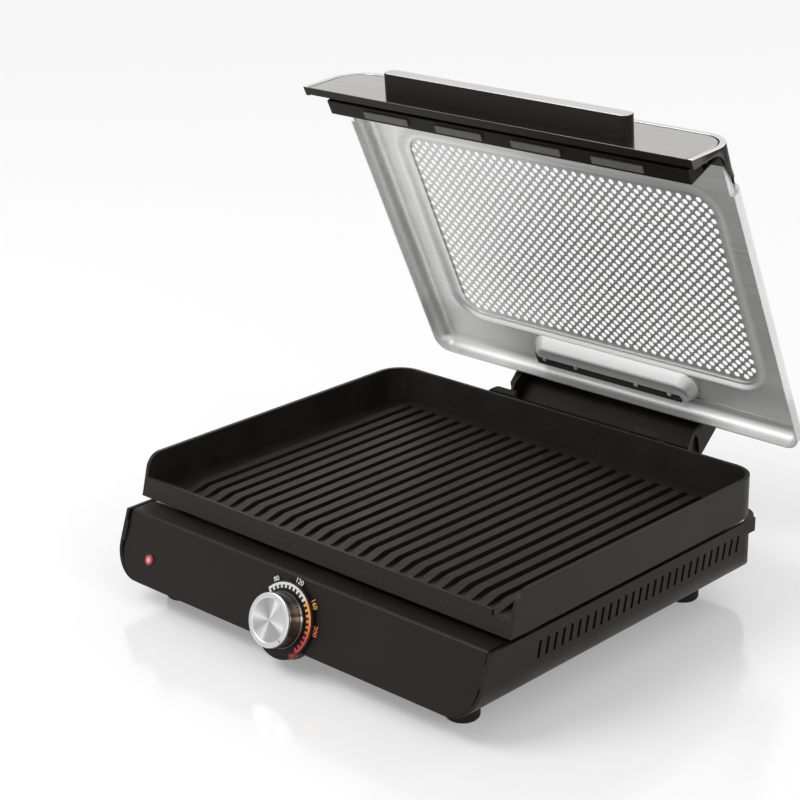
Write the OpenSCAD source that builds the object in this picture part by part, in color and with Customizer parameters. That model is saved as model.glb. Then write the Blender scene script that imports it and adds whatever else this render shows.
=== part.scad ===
// Electric indoor grill: a low housing with a dial on its sloping front, a lift-out
// ridged cooking plate, and a hinged steel lid with a perforated window.
// Y = 0 is the front bottom edge of the cooking plate while the parts are drawn, Z = 0 is the
// table, and place() then centres the open grill over the origin.

/* [Housing] */
// Width of the housing
base_w = 356; // [340:2:360]
// How far the housing's back wall stands behind the cooking plate
base_back = 4; // [2:0.5:8]
// Height of the housing without its feet
base_h = 46.7; // [42:0.5:60]
// Wall thickness of the housing
base_wall = 2.6; // [2:0.2:3.4]
// Radius of the long lower corners
base_corner_r = 24; // [16:1:30]
// Backward lean of the front panel, in degrees
front_lean = 19; // [12:1:24]
// Width of the side cheeks that frame the front panel
cheek_w = 4.5; // [4:0.5:7]
// Thickness of the front panel
panel_t = 3; // [2:0.25:4]
// Plan radius of the back corners
back_corner_r = 20; // [12:1:26]
// Depth of the separate back cover at the sides
back_cover_d = 20; // [16:1:26]
// How far the bead round the back cover stands out
bead_out = 5.4; // [3:0.2:6]
// Height of that bead
bead_h = 10.5; // [7:0.5:12]

/* [Side vents] */
// Distance from slot to slot
vent_pitch = 8.3; // [7:0.1:8.6]
// Width of a slot
vent_w = 2.8; // [1.6:0.2:3.6]
// Height of a slot
vent_h = 12.5; // [8:0.5:14]
// Top of the slots below the rim
vent_drop = 8; // [7.5:0.5:12]
// Centre of the first slot behind the front of the cooking plate
vent_first = 31.5; // [24:0.5:36]
// Least distance from the last slot to the seam of the back cover
vent_last = 6; // [6:1:60]
// Lean of the slots, in degrees
vent_lean = 12.6; // [0:0.2:16]

/* [Feet] */
// Height of the housing above the table
foot_h = 18.3; // [14:0.5:26]
// Radius of a foot
foot_r = 12; // [10:0.5:14]
// Centres of the feet, in from the housing's sides
foot_inset = 39; // [37:1:50]
// Front feet, behind the front of the cooking plate
foot_front = 0; // [-6:1:14]
// Back feet, in front of the housing's back wall
foot_back = 39; // [38:1:60]

/* [Cooking plate] */
// Width of the cooking plate
plate_w = 360; // [348:2:372]
// Depth of the cooking plate at the rim
plate_d = 280; // [270:1:284]
// Height of its walls above its underside
plate_h = 31; // [26:0.5:38]
// Wall thickness
plate_wall = 3; // [2.4:0.2:4]
// Thickness of the plate's floor
plate_floor = 4; // [3:0.25:5]
// Height of the low front lip
lip_h = 14.2; // [12:0.2:16]
// Thickness of the front lip
lip_t = 2.4; // [2:0.1:2.8]
// Backward lean of the front edges, in degrees
plate_lean = 14; // [10:0.5:16]
// Radius at the top of the front edges
nose_r = 13; // [8:0.5:15]
// Forward lean of the back wall, in degrees
back_lean = 5; // [2:0.5:7]
// Plan radius of the back corners
plate_corner_r = 22; // [14:1:28]
// Number of ridges
ridge_count = 24; // [12:1:25]
// Distance from ridge to ridge
ridge_pitch = 13.1; // [10:0.1:13.4]
// Width of a ridge
ridge_w = 7.4; // [4:0.2:9]
// Height of a ridge above the floor
ridge_h = 4; // [2:0.25:5]
// Front of the ridge tops behind the front of the plate
ridge_front = 34; // [28:1:44]
// Width of the pouring spout in the front lip
spout_w = 16; // [12:1:22]
// How far the spout is cut down below the lip
spout_drop = 2.8; // [1.5:0.2:4]
// Shadow gap between the housing's rim and the cooking plate
plate_gap = 4.5; // [3:0.25:6]
// Front of the plate behind the housing's front edge
plate_setback = 16.8; // [14:0.2:20]

/* [Lid] */
// Opening angle of the lid at rest, in degrees
lid_angle = 64.75; // [50:0.25:75]
// Gap between the closed lid and the cooking plate
lid_gap = 0.6; // [0.4:0.1:1.2]
// Depth of the lid's pressing
lid_h = 14.5; // [13:0.25:18]
// Straight part of its wall
lid_wall_h = 5.5; // [4:0.25:5.75]
// Radius of the roll from wall to top
lid_roll = 9; // [6:0.5:9]
// Sheet thickness
sheet_t = 1.2; // [0.8:0.1:1.6]
// Plan radius of the lid's back corners
lid_corner_r = 13; // [11:0.5:18]
// Front wall of the pressing behind the front of the cooking plate
lid_front = 19.6; // [19.2:0.2:22]
// Depth of the part of the pressing that the front trim covers
joggle_d = 24.4; // [20:0.5:28]
// Window for the perforated screen, in from the lid's sides
window_side = 36.5; // [32:0.5:50]
// Window's back edge, in front of the lid's back edge
window_back = 43; // [42:1:60]
// Front edge of the window behind the front of the cooking plate
window_front = 74; // [70:1:78]
// Rise of the screen above the lid's top
screen_rise = 6.7; // [4:0.1:8]
// Width of the bevel round the window
bevel_w = 8.5; // [6:0.5:9]
// Plan radius of the bevel's outer edge
window_r = 18; // [14:0.5:22]
// Thickness of the perforated screen
screen_t = 0.8; // [0.6:0.1:1.2]
// Half width of the pressed pocket behind the window
pocket_half = 80; // [60:1:82]
// Radius of the pocket's ends
pocket_r = 9; // [4:0.5:9.5]
// Front edge of the pocket ahead of the lid's back edge
pocket_front = 30; // [28:0.5:31]
// Back edge of the pocket ahead of the lid's back edge
pocket_back = 8.6; // [8:0.2:10]
// Height of the pocket's floor above the lid's rim
pocket_floor = 5; // [4:0.25:6]

/* [Lid front trim] */
// How far the trim's toe reaches ahead of the cooking plate
toe_reach = 8.6; // [7:0.2:10]
// Height of the toe above the underside of the cooking plate
toe_lift = 0.5; // [0.3:0.1:2]
// Backward lean of the trim's face, in degrees
trim_lean = 20.7; // [17:0.1:22]
// Height of the trim's face
trim_h = 52; // [46:0.5:54]
// Thickness of the trim's walls
trim_wall = 3; // [2.4:0.1:3.4]
// Width of the toe's underside
toe_w = 6.5; // [5:0.25:7]
// Height of the roof of the slot that drops over the plate's lip
slot_roof = 16.4; // [16.2:0.1:18]
// Corner radius at the ends of the trim
trim_corner_r = 18; // [8:0.5:18]
// Thickness of the glossy face
face_t = 0.8; // [0.5:0.1:1.2]
// Margin between the glossy face and the trim's edges
face_margin = 3.2; // [2:0.2:5]
// Depth of the splash baffle behind the slot
baffle_d = 12.1; // [9:0.1:12.2]
// Underside of the baffle above the underside of the cooking plate
baffle_drop = 7.5; // [6.5:0.25:9]
// Length of a bumper below the baffle
bumper_l = 44; // [30:1:60]
// Depth of a bumper, front to back
bumper_d = 6; // [4:0.5:8]
// Thickness of a bumper
bumper_t = 1.2; // [0.8:0.1:1.6]
// Distance from bumper to bumper
bumper_pitch = 72; // [64:1:84]

/* [Handle] */
// Length of the handle bar
handle_l = 227; // [180:1:260]
// Thickness of the handle bar, measured up the trim's face
handle_t = 12.5; // [11.5:0.25:14]
// Height of the handle bar's plate above the trim's face
handle_out = 15.5; // [12:0.5:17]
// Distance from the trim's toe up its face to the handle bar
handle_lift = 17.3; // [16:0.1:20]
// Radius of the handle bar's rounded ends
handle_r = 5.5; // [2:0.5:5.5]
// Thickness of the handle's steel plate
handle_plate_t = 0.6; // [0.4:0.1:1]

/* [Hinge] */
// Hinge axis behind the cooking plate's back edge
hinge_back = 25; // [23.5:0.1:27]
// Hinge axis below the closed lid's rim
hinge_drop = 38.7; // [37:0.1:42]
// Radius of the hinge pins
pin_r = 3; // [2:0.25:4]
// Radial running clearance of the lid on its pins
pin_clear = 0.05; // [0.02:0.01:0.1]
// Radius of the knuckles and eyes
knuckle_r = 8; // [7:0.25:9]
// Inner end of a hinge tower, from the middle
tower_in = 59; // [50:1:64]
// Outer end of a hinge tower, from the middle
tower_out = 86.5; // [80:0.5:88]
// Thickness of a tower's upright blade
tower_t = 5; // [4:0.25:5.5]
// Reach of a tower's top from the hinge axis
tower_reach = 43; // [38:0.5:43.5]
// Thickness of the steel hinge bracket
bracket_t = 2.5; // [2:0.1:3]
// Wall thickness of the hinge hood
hood_wall = 2.5; // [2:0.1:2.8]
// Height of the hood's top above the lid's rim
hood_rise = 20.4; // [19:0.2:23]

/* [Dial] */
// Height of the dial's axis above the housing's underside
dial_lift = 16.8; // [15:0.2:24]
// Radius of the dial disc
dial_r = 27.5; // [24:0.5:30]
// Thickness of the dial disc
dial_t = 2.5; // [1.5:0.1:4]
// Radius of the knob
knob_r = 20; // [14:0.5:22]
// Length of the knob's barrel
knob_l = 12.7; // [10:0.1:18]
// Thickness of the knob's metal cap
knob_cap_t = 1.5; // [1:0.1:2]
// Radius of the thermostat's shaft
shaft_r = 3; // [2.5:0.1:3.4]
// Pilot light, in from the housing's left side
pilot_inset = 34; // [28:1:78]
// Height of the pilot light above the housing's underside
pilot_lift = 18.1; // [14:0.1:28]
// Radius of the pilot light's lens
pilot_r = 4; // [3:0.25:5]

/* [Heating] */
// Radius of the heating element's tube
tube_r = 3.5; // [3:0.1:4]
// Gap between the element and the cooking plate
element_gap = 1.5; // [1:0.1:2.5]
// First run of the element, behind the front of the tray's basin
run_front = 30; // [26:1:40]
// Last run of the element, in front of the back of the basin
run_back = 35; // [26:1:45]
// Centres of the element's bends, in from the housing's sides
run_side = 73; // [70:1:98]
// Thickness of the reflector's sheet
tray_t = 1.2; // [0.8:0.1:1.5]
// Depth of the reflector tray
tray_h = 12.6; // [11:0.2:14]
// Width of the tray's rim
tray_rim = 15; // [14:0.5:18]
// Radius of the pads that carry the cooking plate
pad_r = 6; // [4:0.25:6.5]

/* [Power inlet] */
// Centre of the inlet, in from the housing's right side
inlet_inset = 50; // [44:1:60]
// Width of the inlet's body
inlet_w = 28; // [26:0.5:30]
// Height of the inlet's body
inlet_h = 20; // [19:0.5:21]
// Depth of the socket
inlet_d = 16; // [14:0.5:20]

/* [Hidden] */
$fn = 64;
eps = 0.01;
fit = 0.2;          // gap between neighbouring still parts
screw_r = 1.8;      // shank radius of every screw
screw_head_r = 3.6;
screw_head_t = 2;
screw_fit = 0.1;    // radial gap round a screw's shank

// levels, from the table up
z_floor = foot_h;
z_rim = foot_h + base_h;
z_plate = z_rim + plate_gap;
z_lid = z_plate + plate_h + lid_gap;
z_lid_top = z_lid + lid_h;

// stations, from the front of the cooking plate back
window_w = plate_w - 2 * window_side;
window_d = plate_d - window_front - window_back;
inlet_x = base_w / 2 - inlet_inset;
pilot_x = base_w / 2 - pilot_inset;
y_front = -plate_setback;
y_back = plate_d + base_back;
y_seam = y_back - back_cover_d;
y_pin = plate_d + hinge_back;
z_pin = z_lid - hinge_drop;
y_toe = -toe_reach;
z_toe = z_plate + toe_lift;
z_dial = z_floor + dial_lift;
z_pilot = z_floor + pilot_lift;

function front_y(z) = y_front - (z_rim - z) * tan(front_lean);
function trim_y(z) = y_toe + (z - z_toe) * tan(trim_lean);
function nose_y(z) = (z - z_plate) * tan(plate_lean);
function arc_points(c, r, a0, a1, n = 8) =
    [for (i = [0:n]) [c[0] + r * cos(a0 + (a1 - a0) * i / n), c[1] + r * sin(a0 + (a1 - a0) * i / n)]];
function turned(p, a) = [p[0] * cos(a) - p[1] * sin(a), p[0] * sin(a) + p[1] * cos(a)];

// profile of the lid's back edge: the hood's outline, measured from the lid's back rim
hood_outer = [[-34, lid_h + fit], [-31, hood_rise], [4, hood_rise], [14.8, 11.2], [21.4, -11.1],
    [20.6, -13.5]];
hood_points = [for (p = hood_outer) [plate_d + p[0] - y_pin, z_lid + p[1] - z_pin]];

// the open grill's front and back, which centre it over the origin
knob_front = front_y(z_dial) - (dial_t + 0.3 + knob_l + knob_cap_t) * cos(front_lean)
    - (knob_r - 1) * sin(front_lean);
y_first = min(knob_front, front_y(z_floor));
y_last = y_pin + max([for (p = hood_points) turned(p, -lid_angle)[0]]);
y_mid = (y_first + y_last) / 2;

module place() translate([0, -y_mid, 0]) children();
module lid_pose() {
    place() translate([0, y_pin, z_pin]) rotate([-lid_angle, 0, 0]) translate([0, -y_pin, -z_pin])
        children();
}
// a (y, z) profile drawn across the width, and an (x, z) profile drawn from y0 back to y1
module across(w) rotate([90, 0, 90]) linear_extrude(w, center = true) children();
module across_at(x0, x1) translate([(x0 + x1) / 2, 0, 0]) across(x1 - x0) children();
module along(y0, y1) translate([0, y1, 0]) rotate([90, 0, 0]) linear_extrude(y1 - y0) children();
module both_sides() {
    children();
    mirror([1, 0, 0]) children();
}
// local Z points out of the sloping front panel
module on_front(x, z) translate([x, front_y(z), z]) rotate([90 - front_lean, 0, 0]) children();
// local Z points out of the trim's face, local Y climbs it from the toe
module on_trim() translate([0, y_toe, z_toe]) rotate([90 - trim_lean, 0, 0]) children();

// a trough section: square shoulders at the top and rounded corners at the bottom
module trough(w, h, r) {
    translate([-w / 2, r]) square([w, h - r]);
    translate([r - w / 2, 0]) square([w - 2 * r, h]);
    for (side = [-1, 1]) translate([side * (w / 2 - r), r]) circle(r);
}
// a tray section: straight walls that roll into a flat top
module hood_section(w, h, r) {
    translate([-w / 2, 0]) square([w, h - r]);
    translate([r - w / 2, 0]) square([w - 2 * r, h]);
    intersection() {
        for (side = [-1, 1]) translate([side * (w / 2 - r), h - r]) circle(r);
        translate([-w / 2, 0]) square([w, h]);
    }
}
// a plan from y0 back to y1, with one radius at the back corners and one at the front
module plan(w, y0, y1, r_back, r_front = 0) {
    intersection() {
        translate([-w / 2, y0]) square([w, y1 - y0]);
        union() {
            translate([r_back - w / 2, (y0 + y1) / 2]) square([w - 2 * r_back, y1 - y0]);
            translate([-w / 2, (y0 + y1) / 2]) square([w, (y1 - y0) / 2 - r_back]);
            for (side = [-1, 1]) translate([side * (w / 2 - r_back), y1 - r_back]) circle(r_back);
            if (r_front > 0) {
                translate([r_front - w / 2, y0 - 1]) square([w - 2 * r_front, (y1 - y0) / 2 + 2]);
                translate([-w / 2, y0 + r_front]) square([w, (y1 - y0) / 2 - r_front + 1]);
                for (side = [-1, 1]) translate([side * (w / 2 - r_front), y0 + r_front]) circle(r_front);
            } else {
                translate([-w / 2, y0]) square([w, (y1 - y0) / 2 + 1]);
            }
        }
    }
}
// a closed ring: its child is a profile in (out, up), with out = 0 on the corners' centres
module ring(half_x, half_y, r) {
    for (sx = [0, 1], sy = [0, 1]) mirror([sx, 0, 0]) mirror([0, sy, 0])
        translate([half_x - r, half_y - r, 0]) rotate_extrude(angle = 90) children();
    for (sy = [0, 1]) mirror([0, sy, 0]) translate([0, half_y - r, 0]) across(2 * (half_x - r)) children();
    for (sx = [0, 1]) mirror([sx, 0, 0]) translate([half_x - r, 0, 0]) along(r - half_y, half_y - r)
        children();
}
// a screw that points down local -Z from its seat
module screw(l) {
    translate([0, 0, -l]) cylinder(r = screw_r, h = l + eps);
    difference() {
        cylinder(r = screw_head_r, h = screw_head_t);
        translate([0, 0, screw_head_t - 1]) cylinder(r = 1.5, h = 2, $fn = 6);
    }
}
// a bent wire through a list of points
module wire(points, r) {
    for (i = [0:len(points) - 2]) {
        v = points[i + 1] - points[i];
        l = norm(v);
        translate(points[i]) rotate([0, acos(v[2] / l), atan2(v[1], v[0])]) cylinder(r = r, h = l,
            $fn = 16);
        if (i > 0) translate(points[i]) sphere(r + 0.2);
    }
}

// ---- housing -------------------------------------------------------------------------------

floor_t = base_wall;
panel_cut = panel_t / cos(front_lean);
vent_count = floor((y_seam - vent_last - vent_first) / vent_pitch) + 1;
rail_w = 3.4;
rail_h = 2.6;
cover_side = 68;      // floor hatch, in from the housing's sides
cover_back = 79;      // and in front of its back wall
cover_half_w = base_w / 2 - cover_side;
cover_y0 = 30;
cover_y1 = y_back - cover_back;
cover_t = 1.4;
cover_inset = 8;
foot_boss_h = 8;
foot_x = base_w / 2 - foot_inset;
foot_points = [[-foot_x, foot_front], [foot_x, foot_front], [-foot_x, y_back - foot_back],
    [foot_x, y_back - foot_back]];
cover_screw_points = [for (sx = [-1, 1], y = [cover_y0 + cover_inset / 2, cover_y1 - cover_inset / 2])
    [sx * (cover_half_w - cover_inset / 2), y]];
z_tray = z_rim - 2.4;      // underside of the reflector's rim
y_tray0 = plate_wall + 4;
y_tray1 = y_back - 8;

// strip behind the sloping front, t deep along Y
module front_strip(w, t, back = 0) {
    across(w) polygon([[front_y(z_floor) + back, z_floor - eps], [front_y(z_floor) + back + t,
        z_floor - eps],
        [front_y(z_rim) + back + t, z_rim + eps], [front_y(z_rim) + back, z_rim + eps]]);
}
module panel_outline(grow = 0) {
    translate([0, z_floor - grow]) trough(base_w - 2 * cheek_w + 2 * grow, base_h + 2 * grow,
        base_corner_r - 2);
}
module vents() {
    for (i = [0:vent_count - 1])
        translate([base_w / 2, vent_first + i * vent_pitch, z_rim - vent_drop - vent_h / 2])
            rotate([-vent_lean, 0, 0])
                cube([4 * base_wall, vent_w, vent_h], center = true);
}
module base_shell() color([0.13, 0.12, 0.115]) place() {
    difference() {
        union() {
            difference() {
                intersection() {
                    along(front_y(z_floor) - 1, y_seam) translate([0, z_floor]) trough(base_w, base_h,
                        base_corner_r);
                    across(base_w + 2) polygon([[front_y(z_floor), z_floor], [front_y(z_rim), z_rim],
                        [y_seam, z_rim], [y_seam, z_floor]]);
                }
                along(front_y(z_floor) - 2, y_seam + 1) translate([0, z_floor + floor_t])
                    trough(base_w - 2 * base_wall, base_h, base_corner_r - base_wall);
            }
            // ribs that thicken the cheeks round the front panel
            intersection() {
                front_strip(base_w, 10);
                both_sides() translate([base_w / 2 - cheek_w - 2, -100, z_floor + base_corner_r])
                    cube([cheek_w + 2 - base_wall + eps, 200, base_h - base_corner_r - 8]);
            }
            // rails that carry the reflector
            both_sides() translate([base_w / 2 - base_wall - rail_w, y_tray0, z_tray - rail_h])
                cube([rail_w + eps, y_seam - y_tray0, rail_h]);
            for (p = foot_points) translate([p[0], p[1], z_floor + floor_t - eps])
                cylinder(r = screw_r + 3, h = foot_boss_h);
            for (p = cover_screw_points) translate([p[0], p[1], z_floor + floor_t - eps])
                cylinder(r = screw_r + 2.5, h = 7);
        }
        front_slot();
        both_sides() vents();
        // floor hatch with a rebate for its cover
        translate([-cover_half_w, cover_y0, z_floor - eps])
            cube([2 * cover_half_w, cover_y1 - cover_y0, cover_t + eps]);
        translate([cover_inset - cover_half_w, cover_y0 + cover_inset, z_floor - 1])
            cube([2 * (cover_half_w - cover_inset), cover_y1 - cover_y0 - 2 * cover_inset, floor_t + 2]);
        for (p = foot_points) translate([p[0], p[1], z_floor - 1])
            cylinder(r = screw_r + screw_fit, h = foot_boss_h + floor_t);
        for (p = cover_screw_points) translate([p[0], p[1], z_floor - 1])
            cylinder(r = screw_r + screw_fit, h = 8.5);
    }
}
// the space that the front panel fills
module front_slot() {
    intersection() {
        along(front_y(z_floor) - 5, y_front + 60) panel_outline(fit);
        front_strip(base_w, panel_cut + fit + 5, -5);
    }
}
module front_panel() color([0.14, 0.13, 0.125]) place() {
    ledge_back = y_tray0 - 1;
    ledge_t = 2.4;
    edge_r = 3;
    difference() {
        union() {
            intersection() {
                along(front_y(z_floor) - 5, ledge_back) panel_outline();
                across(base_w) polygon(concat([[front_y(z_floor), z_floor]],
                    arc_points([y_front + edge_r * tan(45 + front_lean / 2), z_rim - edge_r], edge_r,
                        180 - front_lean, 90, 6),
                    [[ledge_back, z_rim], [ledge_back, z_rim - ledge_t], [y_front + panel_cut + 1,
                        z_rim - ledge_t],
                    [front_y(z_rim - ledge_t - 4) + panel_cut, z_rim - ledge_t - 4],
                    [front_y(z_floor) + panel_cut, z_floor]]));
            }
        }
        on_front(0, z_dial) translate([0, 0, -10]) cylinder(r = shaft_r + 1, h = 20);
        on_front(-pilot_x, z_pilot) translate([0, 0, -10]) cylinder(r = pilot_r + 0.1, h = 20);
        for (s = [-1, 1]) on_front(s * bracket_screw_x, z_dial) translate([0, 0, -panel_t - 1])
            cylinder(r = screw_r + screw_fit, h = panel_t - 0.6 + 1);
    }
}
// the back wall with its rounded corners, its rim and its bead
module back_cover() color([0.13, 0.12, 0.115]) place() {
    rim_in = 10;
    difference() {
        union() {
            intersection() {
                along(y_seam + fit, y_back + 1) translate([0, z_floor]) trough(base_w, base_h,
                    base_corner_r);
                translate([0, 0, z_floor - 1]) linear_extrude(base_h + 1)
                    plan(base_w, y_seam - 60, y_back, back_corner_r);
            }
            intersection() {
                translate([0, 0, z_rim - bead_h]) linear_extrude(bead_h)
                    plan(base_w, y_seam + fit, y_back + bead_out, back_corner_r);
                translate([-base_w, y_seam + fit, 0]) cube([2 * base_w, 100, 200]);
            }
        }
        difference() {
            intersection() {
                along(y_seam - 1, y_back + 1) translate([0, z_floor + floor_t])
                    trough(base_w - 2 * base_wall, base_h, base_corner_r - base_wall);
                translate([0, 0, z_floor]) linear_extrude(base_h + 1)
                    plan(base_w - 2 * base_wall, y_seam - 60, y_back - base_wall,
                        back_corner_r - base_wall);
            }
            // the rim's ledge
            translate([-base_w / 2, y_back - rim_in + 3, z_rim - 2.4]) cube([base_w, rim_in, 10]);
        }
        translate([inlet_x, y_back, z_inlet]) cube([inlet_w + 2 * fit, 20, inlet_h + 2 * fit],
            center = true);
        for (x = tower_screw_x) both_sides() translate([x, y_back - 6, z_tower_screw]) rotate([-90, 0, 0])
            cylinder(r = screw_r + screw_fit, h = 20);
    }
}
module bottom_cover() color([0.2, 0.2, 0.2]) place() difference() {
    translate([fit - cover_half_w, cover_y0 + fit, z_floor])
        cube([2 * (cover_half_w - fit), cover_y1 - cover_y0 - 2 * fit, cover_t - fit / 2]);
    for (p = cover_screw_points) translate([p[0], p[1], z_floor - 1]) cylinder(r = screw_r + screw_fit,
        h = 4);
}
module cover_screws() color([0.6, 0.6, 0.62]) place()
    for (p = cover_screw_points) translate([p[0], p[1], z_floor]) rotate([180, 0, 0]) screw(7);

module foot(i) color([0.09, 0.09, 0.09]) place() translate([foot_points[i][0], foot_points[i][1], 0])
    difference() {
    rotate_extrude() polygon(concat([[0, 0], [foot_r - 3, 0]],
        arc_points([foot_r - 3, 3], 3, -60, 0, 5), [[foot_r - 0.6, foot_h], [0, foot_h]]));
    translate([0, 0, -1]) cylinder(r = screw_head_r + 0.6, h = foot_h - 6 + 1);
    cylinder(r = screw_r + screw_fit, h = foot_h + 1);
}
module foot_screws() color([0.6, 0.6, 0.62]) place()
    for (p = foot_points) translate([p[0], p[1], foot_h - 6]) rotate([180, 0, 0])
        screw(6 + floor_t + foot_boss_h - 4);

// ---- heating -------------------------------------------------------------------------------

z_tube = z_plate - element_gap - tube_r;
z_tray_floor = z_tray - tray_h;      // underside of the tray's floor
basin_half = base_w / 2 - base_wall - tray_rim;
basin_y0 = y_tray0 + tray_rim;
basin_y1 = y_tray1 - tray_rim - 6;
run_half = base_w / 2 - run_side;
run_first = basin_y0 + run_front;
run_pitch = (basin_y1 - run_back - run_first) / 3;
run_r = run_pitch / 2;
drop_r = 10;
run_tail = 20;        // how far the two ends run on past the bends
drop_x = run_half + run_tail + drop_r;
z_tube_end = z_tray_floor - 12;
pad_points = [for (sx = [-1, 1], y = [basin_y0 + 12, basin_y1 - 12]) [sx * (basin_half + tray_rim / 2), y]];
tray_screw_points = [for (sx = [-1, 1], y = [basin_y0 + 40, basin_y1 - 40])
    [sx * (base_w / 2 - base_wall - rail_w / 2 - 0.3), y]];
cradle_points = [for (x = [-run_half * 0.62, run_half * 0.62], i = [1, 2]) [x, run_first + i * run_pitch]];
probe_y = run_first + 1.5 * run_pitch;
bush_r = tube_r + 2.5;

module reflector_tray() color([0.62, 0.62, 0.63]) place() difference() {
    union() {
        translate([0, 0, z_tray]) linear_extrude(tray_t)
            plan(base_w - 2 * base_wall - 2 * fit, y_tray0, y_tray1, back_corner_r - 8);
        translate([-basin_half - tray_t, basin_y0 - tray_t, z_tray_floor])
            cube([2 * (basin_half + tray_t), basin_y1 - basin_y0 + 2 * tray_t, tray_h]);
    }
    translate([-basin_half, basin_y0, z_tray_floor + tray_t])
        cube([2 * basin_half, basin_y1 - basin_y0, tray_h + 5]);
    for (y = [run_first, run_first + 3 * run_pitch]) translate([drop_x, y, z_tray_floor - 1])
        cylinder(r = bush_r + screw_fit, h = 5);
    translate([0, probe_y, z_tray_floor - 1]) cylinder(r = 4.3, h = 5);
    for (p = tray_screw_points) translate([p[0], p[1], z_tray - 1]) cylinder(r = 1.1, h = 5);
}
module tray_screws() color([0.6, 0.6, 0.62]) place()
    for (p = tray_screw_points) translate([p[0], p[1], z_tray + tray_t]) cylinder(r = 1.6, h = 1);

module plate_pads() color([0.85, 0.84, 0.8]) place()
    for (p = pad_points) translate([p[0], p[1], z_tray + tray_t]) cylinder(r = pad_r,
        h = z_plate - z_tray - tray_t);

module heating_element() color([0.35, 0.33, 0.31]) place() {
    for (i = [0:3]) {
        right_end = (i == 0 || i == 3) ? run_half + run_tail : run_half;
        translate([-run_half, run_first + i * run_pitch, z_tube]) rotate([0, 90, 0])
            cylinder(r = tube_r, h = run_half + right_end);
    }
    for (i = [0:2]) {
        side = (i == 1) ? 1 : -1;
        translate([side * run_half, run_first + (i + 0.5) * run_pitch, z_tube]) rotate([0, 0,
            side * 90 - 180])
            rotate_extrude(angle = 180) translate([run_r, 0]) circle(tube_r);
    }
    for (i = [0, 3]) translate([run_half + run_tail, run_first + i * run_pitch, z_tube - drop_r]) {
        rotate([90, 0, 0]) rotate_extrude(angle = 90) translate([drop_r, 0]) circle(tube_r);
        translate([drop_r, 0, z_tube_end - z_tube + drop_r])
            cylinder(r = tube_r, h = z_tube - drop_r - z_tube_end);
    }
}
module element_cradles() color([0.7, 0.7, 0.7]) place()
    for (p = cradle_points) difference() {
        translate([p[0] - 3, p[1] - tube_r - 2, z_tray_floor + tray_t])
            cube([6, 2 * tube_r + 4, z_tube - z_tray_floor - tray_t]);
        translate([p[0] - 5, p[1], z_tube]) rotate([0, 90, 0]) cylinder(r = tube_r + 0.1, h = 10);
    }
module element_bushes() color([0.92, 0.9, 0.85]) place()
    for (i = [0, 3]) translate([drop_x, run_first + i * run_pitch, z_tray_floor - 4]) difference() {
        union() {
            cylinder(r = bush_r, h = 8);
            cylinder(r = bush_r + 2, h = 3.8);
        }
        translate([0, 0, -1]) cylinder(r = tube_r + 0.1, h = 12);
    }
module temperature_probe() color([0.75, 0.7, 0.6]) place() translate([0, probe_y, 0]) {
    z_low = z_tray_floor - 6;
    translate([0, 0, z_low]) cylinder(r = 2.2, h = z_plate - 3 - z_low);
    translate([0, 0, z_plate - 3 - eps]) cylinder(r = 5.5, h = 2.8);
}
module probe_spring() color([0.7, 0.7, 0.72]) place() translate([0, probe_y, 0]) {
    turns = 6;
    steps = 12;
    wire_r = 0.5;
    coil_r = 3.4;
    z0 = z_tray_floor + tray_t + wire_r + 0.1;
    z1 = z_plate - 3 - wire_r - 0.1;
    sides = 6;
    rings = turns * steps;
    points = [for (i = [0:rings], j = [0:sides - 1]) let (a = 360 * i / steps, b = 360 * j / sides,
        out = coil_r + 1.2 + wire_r * cos(b)) [out * cos(a), out * sin(a),
            z0 + (z1 - z0) * i / rings + wire_r * sin(b)]];
    skin = [for (i = [0:rings - 1], j = [0:sides - 1]) let (k = (j + 1) % sides)
        [i * sides + j, (i + 1) * sides + j, (i + 1) * sides + k, i * sides + k]];
    ends = [[for (j = [0:sides - 1]) j], [for (j = [0:sides - 1]) rings * sides + sides - 1 - j]];
    polyhedron(points, concat(skin, ends));
}

// ---- controls ------------------------------------------------------------------------------

knob_z = dial_t + 0.3;
bracket_screw_x = 24;
stat_bracket_t = 1.2;
stat_w = 34;
stat_h = 17;
stat_d = 11;
stat_back = panel_t + stat_bracket_t + 0.02;
terminal_side = 60;   // terminal block, in from the housing's right side
terminal_back = 72;   // and in front of its back wall
terminal_x = base_w / 2 - terminal_side;
terminal_y = y_back - terminal_back;
z_inlet = z_floor + inlet_h / 2 + 8;
z_wire = z_floor + floor_t + 1.6;

module thermostat() color([0.88, 0.87, 0.82]) place() on_front(0, z_dial) difference() {
    translate([-stat_w / 2, -stat_h / 2, -stat_back - stat_d]) cube([stat_w, stat_h, stat_d]);
    translate([0, 0, -stat_back - 7]) cylinder(r = shaft_r + pin_clear, h = 10);
    for (s = [-1, 1]) translate([s * 11, 0, -stat_back - stat_d - 1]) cylinder(r = 1.6, h = 4);
}
module thermostat_bracket() color([0.66, 0.66, 0.68]) place() on_front(0, z_dial) difference() {
    translate([-bracket_screw_x - 6, -stat_h / 2 + 1, -stat_back]) cube([2 * bracket_screw_x + 12,
        stat_h - 2, stat_bracket_t]);
    translate([0, 0, -stat_back - 1]) cylinder(r = shaft_r + pin_clear, h = 5);
    for (s = [-1, 1]) translate([s * bracket_screw_x, 0, -stat_back - 1])
        cylinder(r = screw_r + screw_fit, h = 5);
}
module thermostat_screws() color([0.6, 0.6, 0.62]) place()
    for (s = [-1, 1]) on_front(s * bracket_screw_x, z_dial) translate([0, 0, -stat_back]) rotate([180, 0,
        0])
        screw(stat_bracket_t + panel_t - 0.8);
module thermal_fuse() color([0.8, 0.8, 0.78]) place()
    translate([60, basin_y0 + 24, z_tray_floor - 4]) rotate([0, 90, 0]) cylinder(r = 4, h = 24);

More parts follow.
